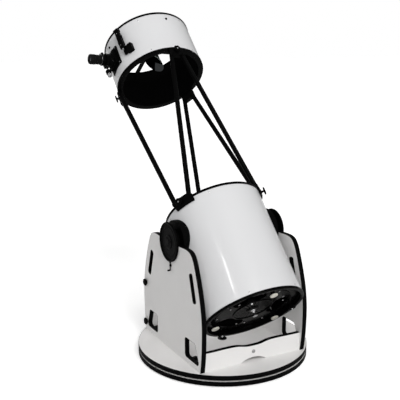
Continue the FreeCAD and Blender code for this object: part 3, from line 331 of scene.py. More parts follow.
def rubber(name):
    mat = Finish(name)
    grain = mat.noise(scale=1400.0, detail=2.0)
    bloom = mat.noise(scale=50.0)
    color = mat.mottle(bloom, (0.0022, 0.0022, 0.0022), (0.005, 0.0049, 0.0048), start=0.35)
    mat.set(color=color, rough=mat.ramp(mat.noise(scale=120.0), low=0.55, high=0.75), spec=0.10)
    mat.bump(grain, strength=0.3, distance=0.0004)
    return mat.material


def cream(name):
    mat = Finish(name)
    color = mat.mottle(mat.noise(scale=60.0), (0.74, 0.72, 0.64), (0.66, 0.64, 0.56))
    rough = mat.ramp(mat.noise(scale=150.0), low=0.20, high=0.32)
    mat.set(color=color, rough=rough, spec=0.5, coat=0.25, coat_rough=0.08)
    mat.bump(mat.noise(scale=500.0, detail=2.0), strength=0.08, distance=0.0003)
    return mat.material


def steel(name, base, rough, brushed):
    mat = Finish(name)
    if brushed:
        lines = mat.stretched((6.0, 90.0, 90.0))
        grain = mat.noise(scale=14.0, rough=0.6, coords=lines)
    else:
        grain = mat.noise(scale=600.0)
    color = mat.mottle(grain, base, dimmed(base, 0.82))
    tarnish = mat.spots(scale=180.0, start=0.60, end=0.74)
    color = mat.dab(tarnish, 0.25, color, (0.30, 0.28, 0.25))
    sheen = mat.ramp(grain, low=rough - 0.07, high=rough + 0.09)
    mat.set(color=color, metal=1.0, rough=sheen)
    mat.bump(grain, strength=0.10, distance=0.0002)
    return mat.material


def coated_glass(mat, face, coat_and_painted_reflection):
    """Metal coat of two tones where face is 1, ground glass elsewhere; the secondary's tones
    are a painted dark reflection.
    """
    haze = mat.noise(scale=30.0)
    glass = mat.mix(mat.noise(scale=400.0), (0.44, 0.52, 0.49), (0.52, 0.60, 0.57))
    color = mat.mix(face, glass, mat.mix(haze, *coat_and_painted_reflection))
    rough = mat.offset(face, by=-0.43, base=mat.ramp(haze, low=0.45, high=0.47))
    mat.set(color=color, metal=face, rough=rough)
    ground = mat.calc("SUBTRACT", 1.0, face)
    grit = mat.calc("MULTIPLY", ground, mat.noise(scale=900.0))
    mat.bump(grit, strength=0.2, distance=0.0003)
    return mat.material


def primary_mirror(name):
    """Coated above a station, within the mirror's edge."""
    mat = Finish(name)
    point = from_pivot(mat)
    distance = axis_distance(mat, point)
    station = mat.vector("DOT_PRODUCT", point, tuple(OPTICAL_AXIS))
    above = mat.calc("GREATER_THAN", station, -0.3460)
    within = mat.calc("LESS_THAN", distance, 0.2024)
    face = mat.calc("MULTIPLY", above, within)
    return coated_glass(mat, face, ((0.90, 0.91, 0.92), (0.86, 0.88, 0.89)))


def secondary_mirror(name):
    """Coated on the slanted face between the focuser and the primary."""
    mat = Finish(name)
    normal = (TUBE.to_3x3() @ (outward(FOCUSER_ANGLE) - Vector((0, 0, 1)))).normalized()
    centre = (TUBE @ Vector((0, 0, FOCUSER_STATION))) * MM
    point = mat.vector("SUBTRACT", mat.coords, tuple(centre))
    height = mat.vector("DOT_PRODUCT", point, tuple(normal))
    face = mat.calc("GREATER_THAN", height, -0.0006)
    # Coat tones painted near black: a painted dark reflection of the black tube inside, in
    # place of the bright metal a real mirror has.
    return coated_glass(mat, face, ((0.055, 0.058, 0.060), (0.040, 0.043, 0.045)))


def ptfe(name):
    mat = Finish(name)
    color = mat.mix(mat.noise(scale=90.0), (0.70, 0.70, 0.67), (0.62, 0.61, 0.58))
    mat.set(color=color, rough=mat.ramp(mat.noise(scale=260.0), low=0.42, high=0.56), spec=0.4)
    mat.bump(mat.noise(scale=700.0), strength=0.1, distance=0.0003)
    return mat.material


def coated_lens(name):
    mat = Finish(name)
    sheen = mat.noise(scale=26.0, detail=2.0)
    color = mat.mottle(sheen, (0.010, 0.016, 0.014), (0.020, 0.012, 0.030))
    rough = mat.ramp(mat.noise(scale=200.0), low=0.03, high=0.07)
    mat.set(color=color, rough=rough, spec=0.6, coat=0.5, coat_rough=0.02)
    mat.bump(mat.noise(scale=40.0), strength=0.01, distance=0.0003)
    return mat.material


def machined_silver(name):
    mat = Finish(name)
    lines = mat.stretched((8.0, 260.0, 260.0))
    grain = mat.noise(scale=10.0, rough=0.6, coords=lines)
    color = mat.mottle(grain, (0.62, 0.62, 0.63), (0.48, 0.48, 0.49))
    mat.set(color=color, metal=1.0, rough=mat.ramp(grain, low=0.22, high=0.36))
    mat.bump(grain, strength=0.12, distance=0.0002)
    return mat.material


def satin(base, rough, grain, spec):
    return satin_black, dict(base=base, rough=rough, grain=grain, spec=spec)


def gloss(base, rough, spec):
    return gloss_black, dict(base=base, rough=rough, spec=spec)


FINISHES = {
    "white_laminate": (laminate, {}),
    "black_edging": (edge_band, {}),
    "tube_white": (tube_skin, {}),
    "ring_black": gloss(base=0.0009, rough=0.28, spec=0.03),
    "black_metal": satin(base=0.0014, rough=0.38, grain=900.0, spec=0.025),
    "truss_black": satin(base=0.0012, rough=0.36, grain=700.0, spec=0.025),
    "black_plastic": satin(base=0.0013, rough=0.42, grain=1300.0, spec=0.02),
    "cream_plastic": (cream, {}),
    "rubber_black": (rubber, {}),
    "zinc_steel": (steel, dict(base=(0.50, 0.50, 0.50), rough=0.34, brushed=True)),
    "bright_steel": (steel, dict(base=(0.72, 0.72, 0.73), rough=0.18, brushed=False)),
    "cell_cast": gloss(base=0.0010, rough=0.18, spec=0.04),
    "tray_cast": gloss(base=0.0010, rough=0.30, spec=0.05),
    "ptfe_white": (ptfe, {}),
    "mirror_glass": (primary_mirror, {}),
    "spider_black": satin(base=0.0014, rough=0.6, grain=800.0, spec=0.06),
    "secondary_glass": (secondary_mirror, {}),
    "lens_coat": (coated_lens, {}),
    "machined_silver": (machined_silver, {}),
    "knob_black": satin(base=0.0013, rough=0.36, grain=1500.0, spec=0.02),
}
MATERIALS = {name: make(name, **values) for name, (make, values) in FINISHES.items()}

# The CAD pieces wear the material of their slot, but for two.
finish_of = {part["node"]: part["material_slot"] for part in frame["record"]["subparts"]}
finish_of.update(secondary_mirror="secondary_glass", azimuth_bolt="black_metal")
for node_name, node_object in frame["nodes"].items():
    slots = node_object.data.materials
    material = MATERIALS[finish_of[node_name]]
    if not slots:
        slots.append(material)
    for i in range(len(slots)):
        slots[i] = material


# ------------------------------------------------------------------ mesh building
# A profile is a list of (radius, z) points, turned about Z.
def rounded(profile, radius, closed=False):
    """Profile with its corners replaced by short curves."""
    steps = 3
    points = [Vector(point) for point in profile]
    last = len(points) - 1
    result = []
    for i, corner in enumerate(points):
        if not closed and i in (0, last):
            result.append(tuple(corner))
            continue
        back = points[i - 1] - corner
        ahead = points[(i + 1) % (last + 1)] - corner
        cut = min(radius, back.length * 0.45, ahead.length * 0.45)
        start = corner + back.normalized() * cut
        end = corner + ahead.normalized() * cut
        for j in range(steps + 1):
            t = j / steps
            result.append(tuple(start * (1 - t) ** 2 + corner * 2 * t * (1 - t) + end * t * t))
    return result


def thread(radius, depth, start, pitch, count):
    """Crests and roots by turns, each one pitch on from the last."""
    return [(radius - depth * (i % 2), start + i * pitch) for i in range(count)]


def stud(length, chamfer, top):
    return [(0, -length), (3.2, -length), (3.9, chamfer - length), (3.9, 0), (0, top)]


def lobes(count, depth, z_range, sharpness=2.0, phase=0):
    """Ripple for a knob with finger bites round its rim."""
    def ripple(angle, radius, z):
        if not z_range[0] <= z <= z_range[1]:
            return radius
        wave = 0.5 + 0.5 * cos(count * angle + phase)
        return radius - depth * (1.0 - wave) ** sharpness * min(1.0, radius / 12.0)
    return ripple


def flutes(count, depth, z_range, beyond):
    """Ripple of even grooves, only at radii from `beyond` outwards."""
    def ripple(angle, radius, z):
        if radius < beyond or not z_range[0] <= z <= z_range[1]:
            return radius
        return radius - depth * (0.5 + 0.5 * cos(count * angle))
    return ripple


class Piece:
    """One visible piece, put together in millimetres in a frame of the assembly."""

    def __init__(self, name, frame=IDENTITY):
        self.name = name
        self.frame = frame
        self.bm = bmesh.new()
        self.materials = []

    def slot_index(self, finish):
        material = MATERIALS[finish]
        if material not in self.materials:
            self.materials.append(material)
        return self.materials.index(material)

    def vertex(self, place, point):
        return self.bm.verts.new((self.frame @ place @ Vector(point)) * MM)

    def lathe(self, profile, finish, steps, place=IDENTITY, ripple=None, closed=False):
        """Turns the profile about Z in so many steps; a ripple varies its radius."""
        index = self.slot_index(finish)
        rows = []
        for radius, z in profile:
            if radius < 1e-6:
                rows.append([self.vertex(place, (0, 0, z))])
                continue
            row = []
            for k in range(steps):
                angle = 2 * pi * k / steps
                reach = ripple(angle, radius, z) if ripple else radius
                row.append(self.vertex(place, (reach * cos(angle), reach * sin(angle), z)))
            rows.append(row)
        pairs = list(zip(rows, rows[1:]))
        if closed:
            pairs.append((rows[-1], rows[0]))
        faces = []
        for low, high in pairs:
            for k in range(steps):
                j = (k + 1) % steps
                if len(low) == 1:
                    corners = (low[0], high[k], high[j])
                elif len(high) == 1:
                    corners = (low[k], high[0], low[j])
                else:
                    corners = (low[k], high[k], high[j], low[j])
                faces.append(self.bm.faces.new(corners))
        for face in faces:
            face.material_index = index
            face.smooth = True
        bmesh.ops.recalc_face_normals(self.bm, faces=faces)

    def ring(self, profile, rounding, finish, steps, place=IDENTITY, ripple=None):
        """A closed profile with rounded corners."""
        self.lathe(rounded(profile, rounding, True), finish, steps, place, ripple, True)

    def block(self, size, centre, finish, bevel, segments=3, place=IDENTITY):
        box = bmesh.new()
        bmesh.ops.create_cube(box, size=1.0)
        for vertex in box.verts:
            vertex.co = Vector([vertex.co[i] * size[i] for i in range(3)]) + Vector(centre)
        bmesh.ops.bevel(box, geom=list(box.edges), offset=bevel, segments=segments,
                        profile=0.5, affect="EDGES")
        index = self.slot_index(finish)
        for face in box.faces:
            face.material_index = index
            face.smooth = True
        box.transform(Matrix.Scale(MM, 4) @ self.frame @ place)
        bmesh.ops.recalc_face_normals(box, faces=box.faces)
        mesh = bpy.data.meshes.new("tmp")
        box.to_mesh(mesh)
        box.free()
        self.bm.from_mesh(mesh)
        bpy.data.meshes.remove(mesh)

    def pan_screw(self, place, r, h, finish):
        """Domed head of radius r and height h, with crossed bars in its recess."""
        dome = [(r, 0), (r, h * 0.35), (r * 0.86, h * 0.8), (r * 0.5, h), (r * 0.34, h),
                (r * 0.30, h * 0.45), (0, h * 0.4)]
        self.lathe([(0, 0)] + rounded(dome, h * 0.2), finish, 28, place)
        for angle in (0, 90):
            self.block((r * 0.95, r * 0.2, h * 0.12), (0, 0, h * 0.47), finish,
                       bevel=h * 0.03, segments=1, place=place @ turn(angle, "Z"))

    def cap_screw(self, place, r, h, finish):
        """Cylindrical head of radius r and height h: fluted side and a well."""
        head = [(r, 0), (r, h * 0.9), (r * 0.9, h), (r * 0.55, h), (r * 0.52, h * 0.9),
                (r * 0.52, h * 0.4), (0, h * 0.35)]
        self.lathe([(0, 0)] + rounded(head, h * 0.08), finish, 48, place,
                   flutes(24, r * 0.05, (h * 0.1, h * 0.85), r * 0.8))

    def add_to(self, body, slot, *replaced):
        """Makes the object, which rides on a body and may replace CAD nodes."""
        mesh = bpy.data.meshes.new(self.name)
        self.bm.to_mesh(mesh)
        self.bm.free()
        for material in self.materials:
            mesh.materials.append(material)
        mesh.set_sharp_from_angle(angle=radians(38))
        piece = bpy.data.objects.new(self.name, mesh)
        bpy.context.scene.collection.objects.link(piece)
        if replaced:
            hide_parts(*replaced)
        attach(piece, body)


# ------------------------------------------------------------------ clamp knobs
# row, angles, rolls, station, radius of the seat, neck height, shank length
CLAMPS = (
    ("lower", LOWER_CLAMP_ANGLES, (8, 25, 40), 139, TUBE_RADIUS + 13.2, 12, 9.3),
    ("upper", UPPER_CLAMP_ANGLES, (15, 33, 5), 1010, TUBE_RADIUS + 9.2, 7, 18),
)


def clamp_knob(row, tag, angle, roll, station, seat, neck, shank):
    node = f"{row}_clamp_knob_{tag}"
    part = Piece("visual_" + node, wall_frame(seat, angle, station, roll))
    foot = [(0, 0.1), (8, 0.1), (8, 1.8), (6.2, 3.4), (5.3, neck * 0.62), (5.8, neck - 0.6),
            (9.5, neck + 0.4)]
    # radius, height above the neck
    head = [(12, 0.6), (18.8, 1.6), (20.5, 3.6), (20.5, 6.4), (18.6, 8.6), (13, 9.3),
            (8.2, 8.4), (7.6, 7.6), (0, 7.4)]
    head = [(radius, neck + z) for radius, z in head]
    part.lathe(rounded(foot, 1.2) + rounded(head, 1.2), "knob_black", 96,
               ripple=lobes(6, 3, (neck + 1, neck + 9), sharpness=2.2))
    stub = [(0, 7.2), (4.4, 7.2), (4.4, 8.4), (3.4, 8.9), (0, 9)]
    part.lathe(rounded([(radius, neck + z) for radius, z in stub], 0.4), "zinc_steel", 32)
    pitch = 0.6
    part.lathe([(0, -shank), (3.4, -shank), (3.95, 0.6 - shank)]
               + thread(3.95, 0.45, 1 - shank, pitch, int(shank / pitch) - 1)
               + [(3.95, -0.1), (0, 0)], "zinc_steel", 32)
    part.add_to(f"{row}_clamp_{tag}", "black_plastic", node)


# ------------------------------------------------------------------ mirror cell
def collimation_knob(tag, angle):
    part = Piece("visual_collimation_knob_" + tag,
                 rear_frame(COLLIMATION_RADIUS, angle, CELL_FACE - 4))
    part.lathe(rounded([(0, 0.1), (9, 0.1), (10.4, 1.6), (10.4, 17.6), (9, 19.2), (0, 19.4)],
                       0.9), "knob_black", 64, ripple=flutes(18, 0.7, (3, 17), 9))
    cap = [(0, 19.2), (16.5, 19.6), (19.4, 21), (19.4, 25.4), (17.6, 27.3), (12, 27.4),
           (10.6, 26.7), (0, 26.5)]
    part.lathe(rounded(cap, 1), "cream_plastic", 96, ripple=flutes(36, 0.5, (20.6, 26.2), 18))
    part.lathe(stud(43, 1, 0.4), "zinc_steel", 28)
    part.add_to("collimation_" + tag, "cream_plastic", "collimation_knob_" + tag)


def lock_knob(tag, angle):
    part = Piece("visual_lock_knob_" + tag,
                 rear_frame(LOCK_RADIUS, angle, CELL_FACE - 4.5, roll=20))
    star = [(0, 0.1), (7, 0.1), (7, 2), (6.2, 4), (6.2, 15), (7.4, 18), (12, 19.2),
            (18.2, 20.2), (20, 22.2), (20, 30.6), (18, 33.6), (12, 34.4), (7, 33.6),
            (6.4, 32.6), (0, 32.6)]
    part.lathe(rounded(star, 1.4), "knob_black", 108, ripple=lobes(6, 5.2, (18.4, 35)))
    tip = [(0, 32.2), (5, 32.2), (5, 34.8), (4.2, 36), (4.1, 38.6), (3.2, 39.4), (0, 39.5)]
    part.lathe(rounded(tip, 0.5), "bright_steel", 32)
    part.lathe(stud(36.2, 1.2, 0.4), "zinc_steel", 28)
    part.add_to("lock_" + tag, "black_plastic", "lock_knob_" + tag)


def centre_nut():
    part = Piece("visual_centre_nut", rear_frame(0, 0, CELL_FACE - 4.2))
    nut = [(0, -4), (2.95, -4), (2.95, 0), (11.8, 0.1), (12, 2.2), (7, 8), (3.9, 14.6),
           (5.6, 21), (12.3, 29), (12.5, 31.6), (11, 32.8), (4, 32.9), (3.2, 31.6), (0, 31.4)]
    part.lathe(rounded(nut, 1.1), "bright_steel", 96,
               ripple=flutes(32, 0.55, (28.6, 32.2), 11.6))
    part.add_to("centre_nut", "bright_steel", "centre_thumb_nut")


def cell_detail():
    """Pads under the knobs, round ribs and bolts on the outer face of the cell."""
    part = Piece("visual_cell_detail", rear_frame(0, 0, CELL_FACE))
    pads = (
        (COLLIMATION_RADIUS, COLLIMATION_ANGLES,
         [(4.2, -0.4), (4.2, 3.7), (12.5, 3.7), (14, 1), (14.6, -0.4)]),
        (LOCK_RADIUS, LOCK_ANGLES,
         [(4.2, -0.4), (4.2, 4.2), (11, 4.2), (12.5, 1), (13, -0.4)]),
    )
    for radius, angles, profile in pads:
        for angle in angles:
            part.ring(profile, 0.8, "cell_cast", 48, around(radius, angle, 0))
    # inner radius, outer radius, height
    for inner, outer, height in ((96, 102, 3.6), (28, 33, 3), (192, 196, 2.6), (242, 250, 5)):
        rib = [(inner, -0.4), (inner + 0.6, height), (outer - 0.6, height), (outer, -0.4)]
        part.ring(rib, 1, "cell_cast", 192)
    # angle, radius
    bolts = ((190, 187), (260, 154), (158, 160), (70, 187), (310, 187), (140, 154), (20, 154),
             (38, 160), (278, 160))
    for angle, radius in bolts:
        part.cap_screw(around(radius, angle, 0), 5, 4.5, "bright_steel")
    part.add_to("optical_tube", "cell_cast")


# ------------------------------------------------------------------ tube
# tube half, then for each end: station, direction out of the tube, inner radius
END_RINGS = (
    ("lower", ((-439, -1, 238), (146, 1, 240))),
    ("upper", ((1027, -1, 224), (1299, 1, 240))),
)


def end_rings(half, ends):
    part = Piece(f"visual_{half}_rings", TUBE)
    skin = TUBE_RADIUS + 0.05
    lip = TUBE_RADIUS + 2.9
    for station, way, inner in ends:
        # radius, distance out past the end of the tube
        ring = ((skin, -10), (TUBE_RADIUS + 2.2, -10), (lip, -9), (lip, 2),
                (TUBE_RADIUS + 1.6, 3), (inner + 1, 3), (inner, 2), (inner, 0.1), (skin, 0.1))
        part.ring([(radius, station + way * out) for radius, out in ring], 0.8,
                  "ring_black", 256)
    part.add_to("optical_tube", "ring_black", half + "_tube_rings")


def bearing_cover(side, sign):
    place = axes((0, 1, 0), (0, 0, sign), (sign, 0, 0), (sign * 296, 0, 0))
    part = Piece("visual_bearing_cover_" + side, TUBE @ place)
    cover = [(62, -0.15), (96, -0.15), (98.3, 1.6), (98.3, 8.4), (96.4, 10.7), (90.6, 10.7),
             (88, 8.2), (86.6, 5), (74, 5), (72.6, 6.2), (70, 6.2), (68.6, 5), (37, 5),
             (34.5, 7), (33, 7.8), (14, 7.8), (12.5, 8.8), (9, 9.4), (0, 9.6)]
    part.lathe([(0, -0.15)] + rounded(cover, 1.3), "knob_black", 160)
    for angle in (30, 150, 270):
        part.cap_screw(around(23.5, angle, 7.7), 3.6, 2.4, "black_metal")
    part.add_to("optical_tube", "black_plastic")


# ------------------------------------------------------------------ focuser
def focuser_body():
    part = Piece("visual_focuser_body", FOCUSER)
    barrel = [(28.1, 272), (40.8, 272), (40.8, 279.2), (36, 280), (34.9, 281), (34.9, 286),
              (34, 286.6), (34, 288), (34.9, 288.6), (34.9, 306.4), (36.4, 307),
              (36.4, 311.6), (35.2, 312), (28.1, 312)]
    part.ring(barrel, 0.5, "black_metal", 128)
    # housing of the axle and its cover plate
    part.block((50, 23.6, 25.6), (0, 32.2, 294), "black_metal", bevel=2.4, segments=4)
    part.block((22, 3, 14), (0, 43.6, 296), "black_metal", bevel=1)
    for x in (-20, 20):
        for z in (285.5, 302.5):
            part.cap_screw(move(x, 43.9, z) @ turn(-90, "X"), 2.1, 1.6, "bright_steel")
    for angle in (45, 135, 225, 315):
        part.cap_screw(around(37.9, angle, 279), 2.2, 2, "bright_steel")
    part.add_to("optical_tube", "black_metal", "focuser_body")


def drawtube():
    part = Piece("visual_drawtube", FOCUSER)
    tube = [(25.5, 258), (27.6, 258), (27.9, 259), (27.9, 321.6), (30.4, 322.1),
            (31.9, 323.6), (31.9, 334.4), (30.4, 335.9), (25.5, 335.9)]
    part.ring(tube, 0.5, "black_metal", 128, ripple=flutes(60, 0.45, (325, 333), 31))
    part.ring([(25.5, 336), (29.6, 336), (29.6, 336.5), (25.5, 336.5)], 0.1,
              "machined_silver", 96)
    part.add_to("drawtube", "black_metal", "drawtube")


def eyepiece():
    part = Piece("visual_eyepiece", FOCUSER)
    barrel = [(0, 306), (22, 306), (22.6, 306.2), (25.3, 306.6), (25.35, 330), (24.6, 331),
              (24.6, 333.5), (25.35, 334.5), (25.35, 337)]
    part.lathe(rounded(barrel, 0.3) + [(0, 337)], "bright_steel", 96)
    grip = [(25, 336.9), (26.4, 337), (26.6, 340), (26.6, 344.5), (25, 346), (25, 350),
            (26.6, 351.4), (26.6, 355), (25, 356.4), (25, 360), (26.6, 361.2), (26.6, 371.5),
            (28, 374), (28, 380), (26.8, 381), (26.8, 384), (28, 385), (28, 398.5),
            (26.2, 402.8), (21, 403), (17, 401.8), (12.5, 397.2), (11.6, 396.4)]
    part.lathe([(0, 336.8)] + rounded(grip, 0.7) + [(0, 395.8)], "rubber_black", 128,
               ripple=flutes(44, 0.55, (362.5, 371), 26))
    part.lathe([(0, 396.2), (11.8, 396.6), (10, 397.2), (6, 398), (3, 398.3), (0, 398.4)],
               "lens_coat", 64)
    part.add_to("eyepiece", "rubber_black", "eyepiece")


def eyepiece_lock():
    part = Piece("visual_eyepiece_lock", FOCUSER @ move(25.6, 0, 329) @ turn(90, "Y"))
    part.lathe([(0, 0), (1.5, 0), (1.95, 0.5)] + thread(1.95, 0.25, 1, 0.4, 24)
               + [(1.95, 11.2), (0, 11.6)], "bright_steel", 24)
    head = [(0, 11.4), (4, 11.4), (4.5, 12), (4.5, 17.6), (3.9, 18.4), (2, 18.4), (0, 18.1)]
    part.lathe(rounded(head, 0.3), "bright_steel", 72, ripple=flutes(20, 0.35, (12, 17.6), 4.2))
    part.add_to("eyepiece_lock", "bright_steel", "eyepiece_lock_screw")


def coarse_knobs():
    """The axle, the wide knob at its low end and the narrow one at its high end."""
    part = Piece("visual_coarse_knobs",
                 FOCUSER @ move(0, FOCUS_AXLE_Y, FOCUS_AXLE_Z) @ turn(90, "Y"))
    part.lathe([(0, -71), (3.9, -71), (3.95, -70), (3.95, 60), (3.9, 61), (0, 61)],
               "machined_silver", 40)
    wide = [(0, -72), (11, -72), (14, -71.6), (15, -70.4), (15, -50), (14.2, -48.4),
            (12.6, -46.4), (10, -46), (0, -46)]
    part.lathe(rounded(wide, 0.7), "knob_black", 120,
               ripple=flutes(30, 0.7, (-69.6, -50.6), 14.6))
    narrow = [(0, 60), (6.5, 60), (8, 61.2), (8, 82), (6.6, 83.8), (0, 84)]
    part.lathe(rounded(narrow, 0.6), "knob_black", 72, ripple=flutes(20, 0.4, (62, 81), 7.6))
    part.add_to("coarse_focus", "black_metal", "coarse_focus_knobs")


def fine_knob():
    part = Piece("visual_fine_knob",
                 FOCUSER @ move(-73, FOCUS_AXLE_Y, FOCUS_AXLE_Z) @ turn(-90, "Y"))
    knob = [(0, 0.1), (9.5, 0.1), (11.5, 1.4), (11.5, 14.8), (10.2, 16.8), (5.6, 17.2),
            (5, 18.3), (0, 18.4)]
    part.lathe(rounded(knob, 0.6), "machined_silver", 120,
               ripple=flutes(30, 0.55, (2, 14.6), 11.2))
    part.add_to("fine_focus", "bright_steel", "fine_focus_knob")


def focuser_screws():
    """Four screws square to the curved base of the focuser."""
    part = Piece("visual_focuser_screws", FOCUSER)
    base_radius = TUBE_RADIUS + 6.8
    for x in (-52, 52):
        for y in (-49, 49):
            z = sqrt(base_radius ** 2 - y * y)
            tilt = degrees(asin(y / base_radius))
            part.cap_screw(move(x, y, z) @ turn(-tilt, "X"), 3.4, 2.6, "bright_steel")
    part.add_to("optical_tube", "bright_steel")


# ------------------------------------------------------------------ finder
# size, centre, bevel, bevel segments
FINDER_BLOCKS = (
    ((134, 27, 21.6), (1, 0, 278.5), 4.6, 5),  # body
    ((16, 31, 28), (60, 0, 280), 3.2, 4),  # upper end
    ((6, 27, 14), (-63.4, 0, 279), 2, 3),  # lower end
    ((44, 15, 3), (10, 0, 290.2), 1.3, 3),  # raised plate
    ((14, 8, 10), (8, -17, 281), 2.4, 4),  # side lump
    ((60, 20, 13), (-10, 0, 262.8), 2.2, 3),  # foot
)


def finder_body():
    part = Piece("visual_finder_body", FINDER)
    for size, centre, bevel, segments in FINDER_BLOCKS:
        part.block(size, centre, "knob_black", bevel, segments)
    sight = move(0, 0, FINDER_SIGHT_Z) @ turn(90, "Y")
    rim = [(7.4, 67.7), (10.4, 67.7), (10.4, 68.9), (9.4, 69), (8.2, 68.9), (7.4, 68.2)]
    part.ring(rim, 0.3, "black_metal", 64, sight)
    part.lathe([(0, 68.1), (8, 68.2), (5, 68.6), (2, 68.75), (0, 68.8)], "lens_coat", 48, sight)
    side_cap = [(0, 13.2), (8.6, 13.2), (9, 13.6), (9, 14.6), (8.2, 15), (0, 15)]
    part.lathe(rounded(side_cap, 0.3), "black_metal", 64, move(-26, 0, 279) @ turn(-90, "X"))
    for x in (-46, 38):
        part.pan_screw(move(x, 0, 289.2), 2.2, 1.2, "zinc_steel")
    part.add_to("optical_tube", "black_plastic", "finder_body")


def finder_dial():
    part = Piece("visual_finder_dial", FINDER @ move(-66.2, 0, 279) @ turn(-90, "Y"))
    part.lathe([(0, 0.05), (2.4, 0.05), (2.5, 0.4), (2.5, 3.2), (0, 3.2)], "bright_steel", 24)
    dial = [(0, 3), (5.9, 3), (6.5, 3.6), (6.5, 10.8), (5.8, 11.9), (3, 12), (2.6, 11.4),
            (0, 11.4)]
    part.lathe(rounded(dial, 0.35), "bright_steel", 96, ripple=flutes(24, 0.4, (4, 10.6), 6.3))
    part.add_to("finder_dial", "bright_steel", "finder_dial")


# ------------------------------------------------------------------ small screws
# station, angle of the first of six screws
SCREW_CIRCLES = ((121, 118.2), (-418, 118.2), (1272, 120.4), (1052, 118.2))


def tube_screws():
    part = Piece("visual_tube_screws")
    for i in range(6):
        for station, first in SCREW_CIRCLES:
            place = wall_frame(TUBE_RADIUS, first + 60 * i, station, roll=17 * i)
            part.pan_screw(place, 3.2, 1.8, "bright_steel")
    for angle in VANE_ANGLES:
        part.cap_screw(wall_frame(TUBE_RADIUS, angle, 1253), 6.4, 4.4, "black_metal")
    # either side of the upper clamps
    for angle in UPPER_CLAMP_ANGLES:
        for shift in (-6.2, 6.2):
            place = wall_frame(TUBE_RADIUS + 9, angle + shift, 988)
            part.cap_screw(place, 4.4, 3.4, "black_metal")
    # three about the optical axis, near the mouth
    for angle in (24, 144, 264):
        part.cap_screw(TUBE @ around(14, angle, 1271), 5.4, 7, "bright_steel")
    part.add_to("optical_tube", "bright_steel", "tube_screws")


def bracket_screws():
    part = Piece("visual_bracket_screws")
    for angle in LOWER_CLAMP_ANGLES:
        for shift in (-13, 7):
            place = wall_frame(TUBE_RADIUS + 12.9, angle + shift, 136)
            part.cap_screw(place, 3.4, 2.2, "black_metal")
    part.add_to("optical_tube", "black_metal")


# ------------------------------------------------------------------ rocker hardware
def assembly_knobs():
    """Four knobs on the side panels, then four on the base board."""
    part = Piece("visual_assembly_knobs")
    # place, height, radius, stud length
    knobs = [(move(sign * SIDE_PANEL_X, 295.5, z) @ turn(90 * sign, "Y"), 15, 19, 62)
             for z in (329, 110) for sign in (-1, 1)]
    knobs += [(move(x, y, 61), 21, 18.5, 20) for y in (-178, 262) for x in (-249, 249)]
    for i, (place, h, r, length) in enumerate(knobs):
        knob = [(0, 0.05), (r * 0.6, 0.05), (r * 0.66, h * 0.2), (r * 0.94, h * 0.36),
                (r, h * 0.5), (r, h * 0.76), (r * 0.9, h * 0.96), (r * 0.5, h * 1.02),
                (r * 0.42, h * 0.98), (0, h * 0.98)]
        part.lathe(rounded(knob, 1.3), "knob_black", 96, place,
                   lobes(7, r * 0.12, (h * 0.25, h * 1.01), phase=i))
        plug = [(0, h * 0.9), (r * 0.3, h * 0.9), (r * 0.3, h * 1.03), (r * 0.24, h * 1.06),
                (0, h * 1.06)]
        part.lathe(rounded(plug, 0.4), "black_metal", 40, place)
        part.lathe(stud(length, 1, 0.3), "zinc_steel", 24, place)
    part.add_to("rocker", "black_plastic", "assembly_knobs")


def panel_bolt():
    """Bolt through the front panel, with a six-sided nut behind it."""
    part = Piece("visual_panel_bolt", move(0, -305, 110) @ turn(90, "X"))
    bolt = [(0, -25.9), (3.9, -25.9), (3.95, -25), (3.95, 0), (9.4, 0.05), (9.4, 1.6),
            (7.4, 4.4), (4.2, 5.4), (3.4, 5.4), (3.2, 2.8), (0, 2.6)]
    part.lathe(rounded(bolt, 0.7), "zinc_steel", 64)
    nut = [(4, -27), (7.2, -27), (7.5, -26.4), (7.5, -21.6), (7.2, -21.05), (4, -21.05)]
    part.ring(nut, 0.4, "zinc_steel", 6)
    part.add_to("rocker", "zinc_steel", "panel_bolt")


def brake_lever():
    part = Piece("visual_brake_lever", move(-SIDE_PANEL_X, -8, 505))
    hub = [(0, 0.05), (6.4, 0.05), (6.4, 5.6), (5.4, 6.9), (3, 7), (2.8, 6.4), (0, 6.4)]
    part.lathe(rounded(hub, 0.6), "black_metal", 48, turn(-90, "Y"))
    part.block((3.8, 6.5, 42), (-5, 0, -3.6), "black_metal", bevel=1.2)
    part.block((5, 11, 5), (-5, 0, 15), "rubber_black", bevel=1.2)
    grip = [(0, 3), (3.6, 3), (4.3, 4), (4.4, 17.6), (3.4, 19.6), (0, 19.9)]
    part.lathe(rounded(grip, 0.8), "rubber_black", 48, move(0, 0, -24) @ turn(-90, "Y"),
               flutes(14, 0.35, (5, 17), 4))
    part.add_to("brake_lever", "black_metal", "altitude_brake_lever")


for row, angles, rolls, *sizes in CLAMPS:
    for tag, angle, roll in zip("abc", angles, rolls):
        clamp_knob(row, tag, angle, roll, *sizes)
for tag, angle in zip("abc", COLLIMATION_ANGLES):
    collimation_knob(tag, angle)
for tag, angle in zip("abc", LOCK_ANGLES):
    lock_knob(tag, angle)
centre_nut()
cell_detail()
for half, ends in END_RINGS:
    end_rings(half, ends)
bearing_cover("left", -1)
bearing_cover("right", 1)
for build in (focuser_body, drawtube, eyepiece, eyepiece_lock, coarse_knobs, fine_knob,
              focuser_screws, finder_body, finder_dial, tube_screws, bracket_screws,
              assembly_knobs, panel_bolt, brake_lever):
    build()


# ------------------------------------------------------------------ studio
def paper(name):
    """Pale sweep: diffuse for the light it sends up, lifted where the camera sees it."""
    mat = Finish(name)
    grain = mat.noise(scale=60.0, detail=2.0)
    tint = mat.mottle(grain, (0.93, 0.93, 0.93), (0.92, 0.92, 0.92))
    seen = mat.node("ShaderNodeLightPath").outputs["Is Camera Ray"]
    mat.set(color=mat.mix(seen, (0.80, 0.80, 0.80), tint), rough=0.9, spec=0.0)
    mat.set(emit_color=(1, 1, 1), emit=mat.calc("MULTIPLY", seen, 0.42))
    mat.bump(grain, strength=0.02, distance=0.0005)
    return mat.material


def link_object(name, data):
    item = bpy.data.objects.new(name, data)
    bpy.context.scene.collection.objects.link(item)
    return item


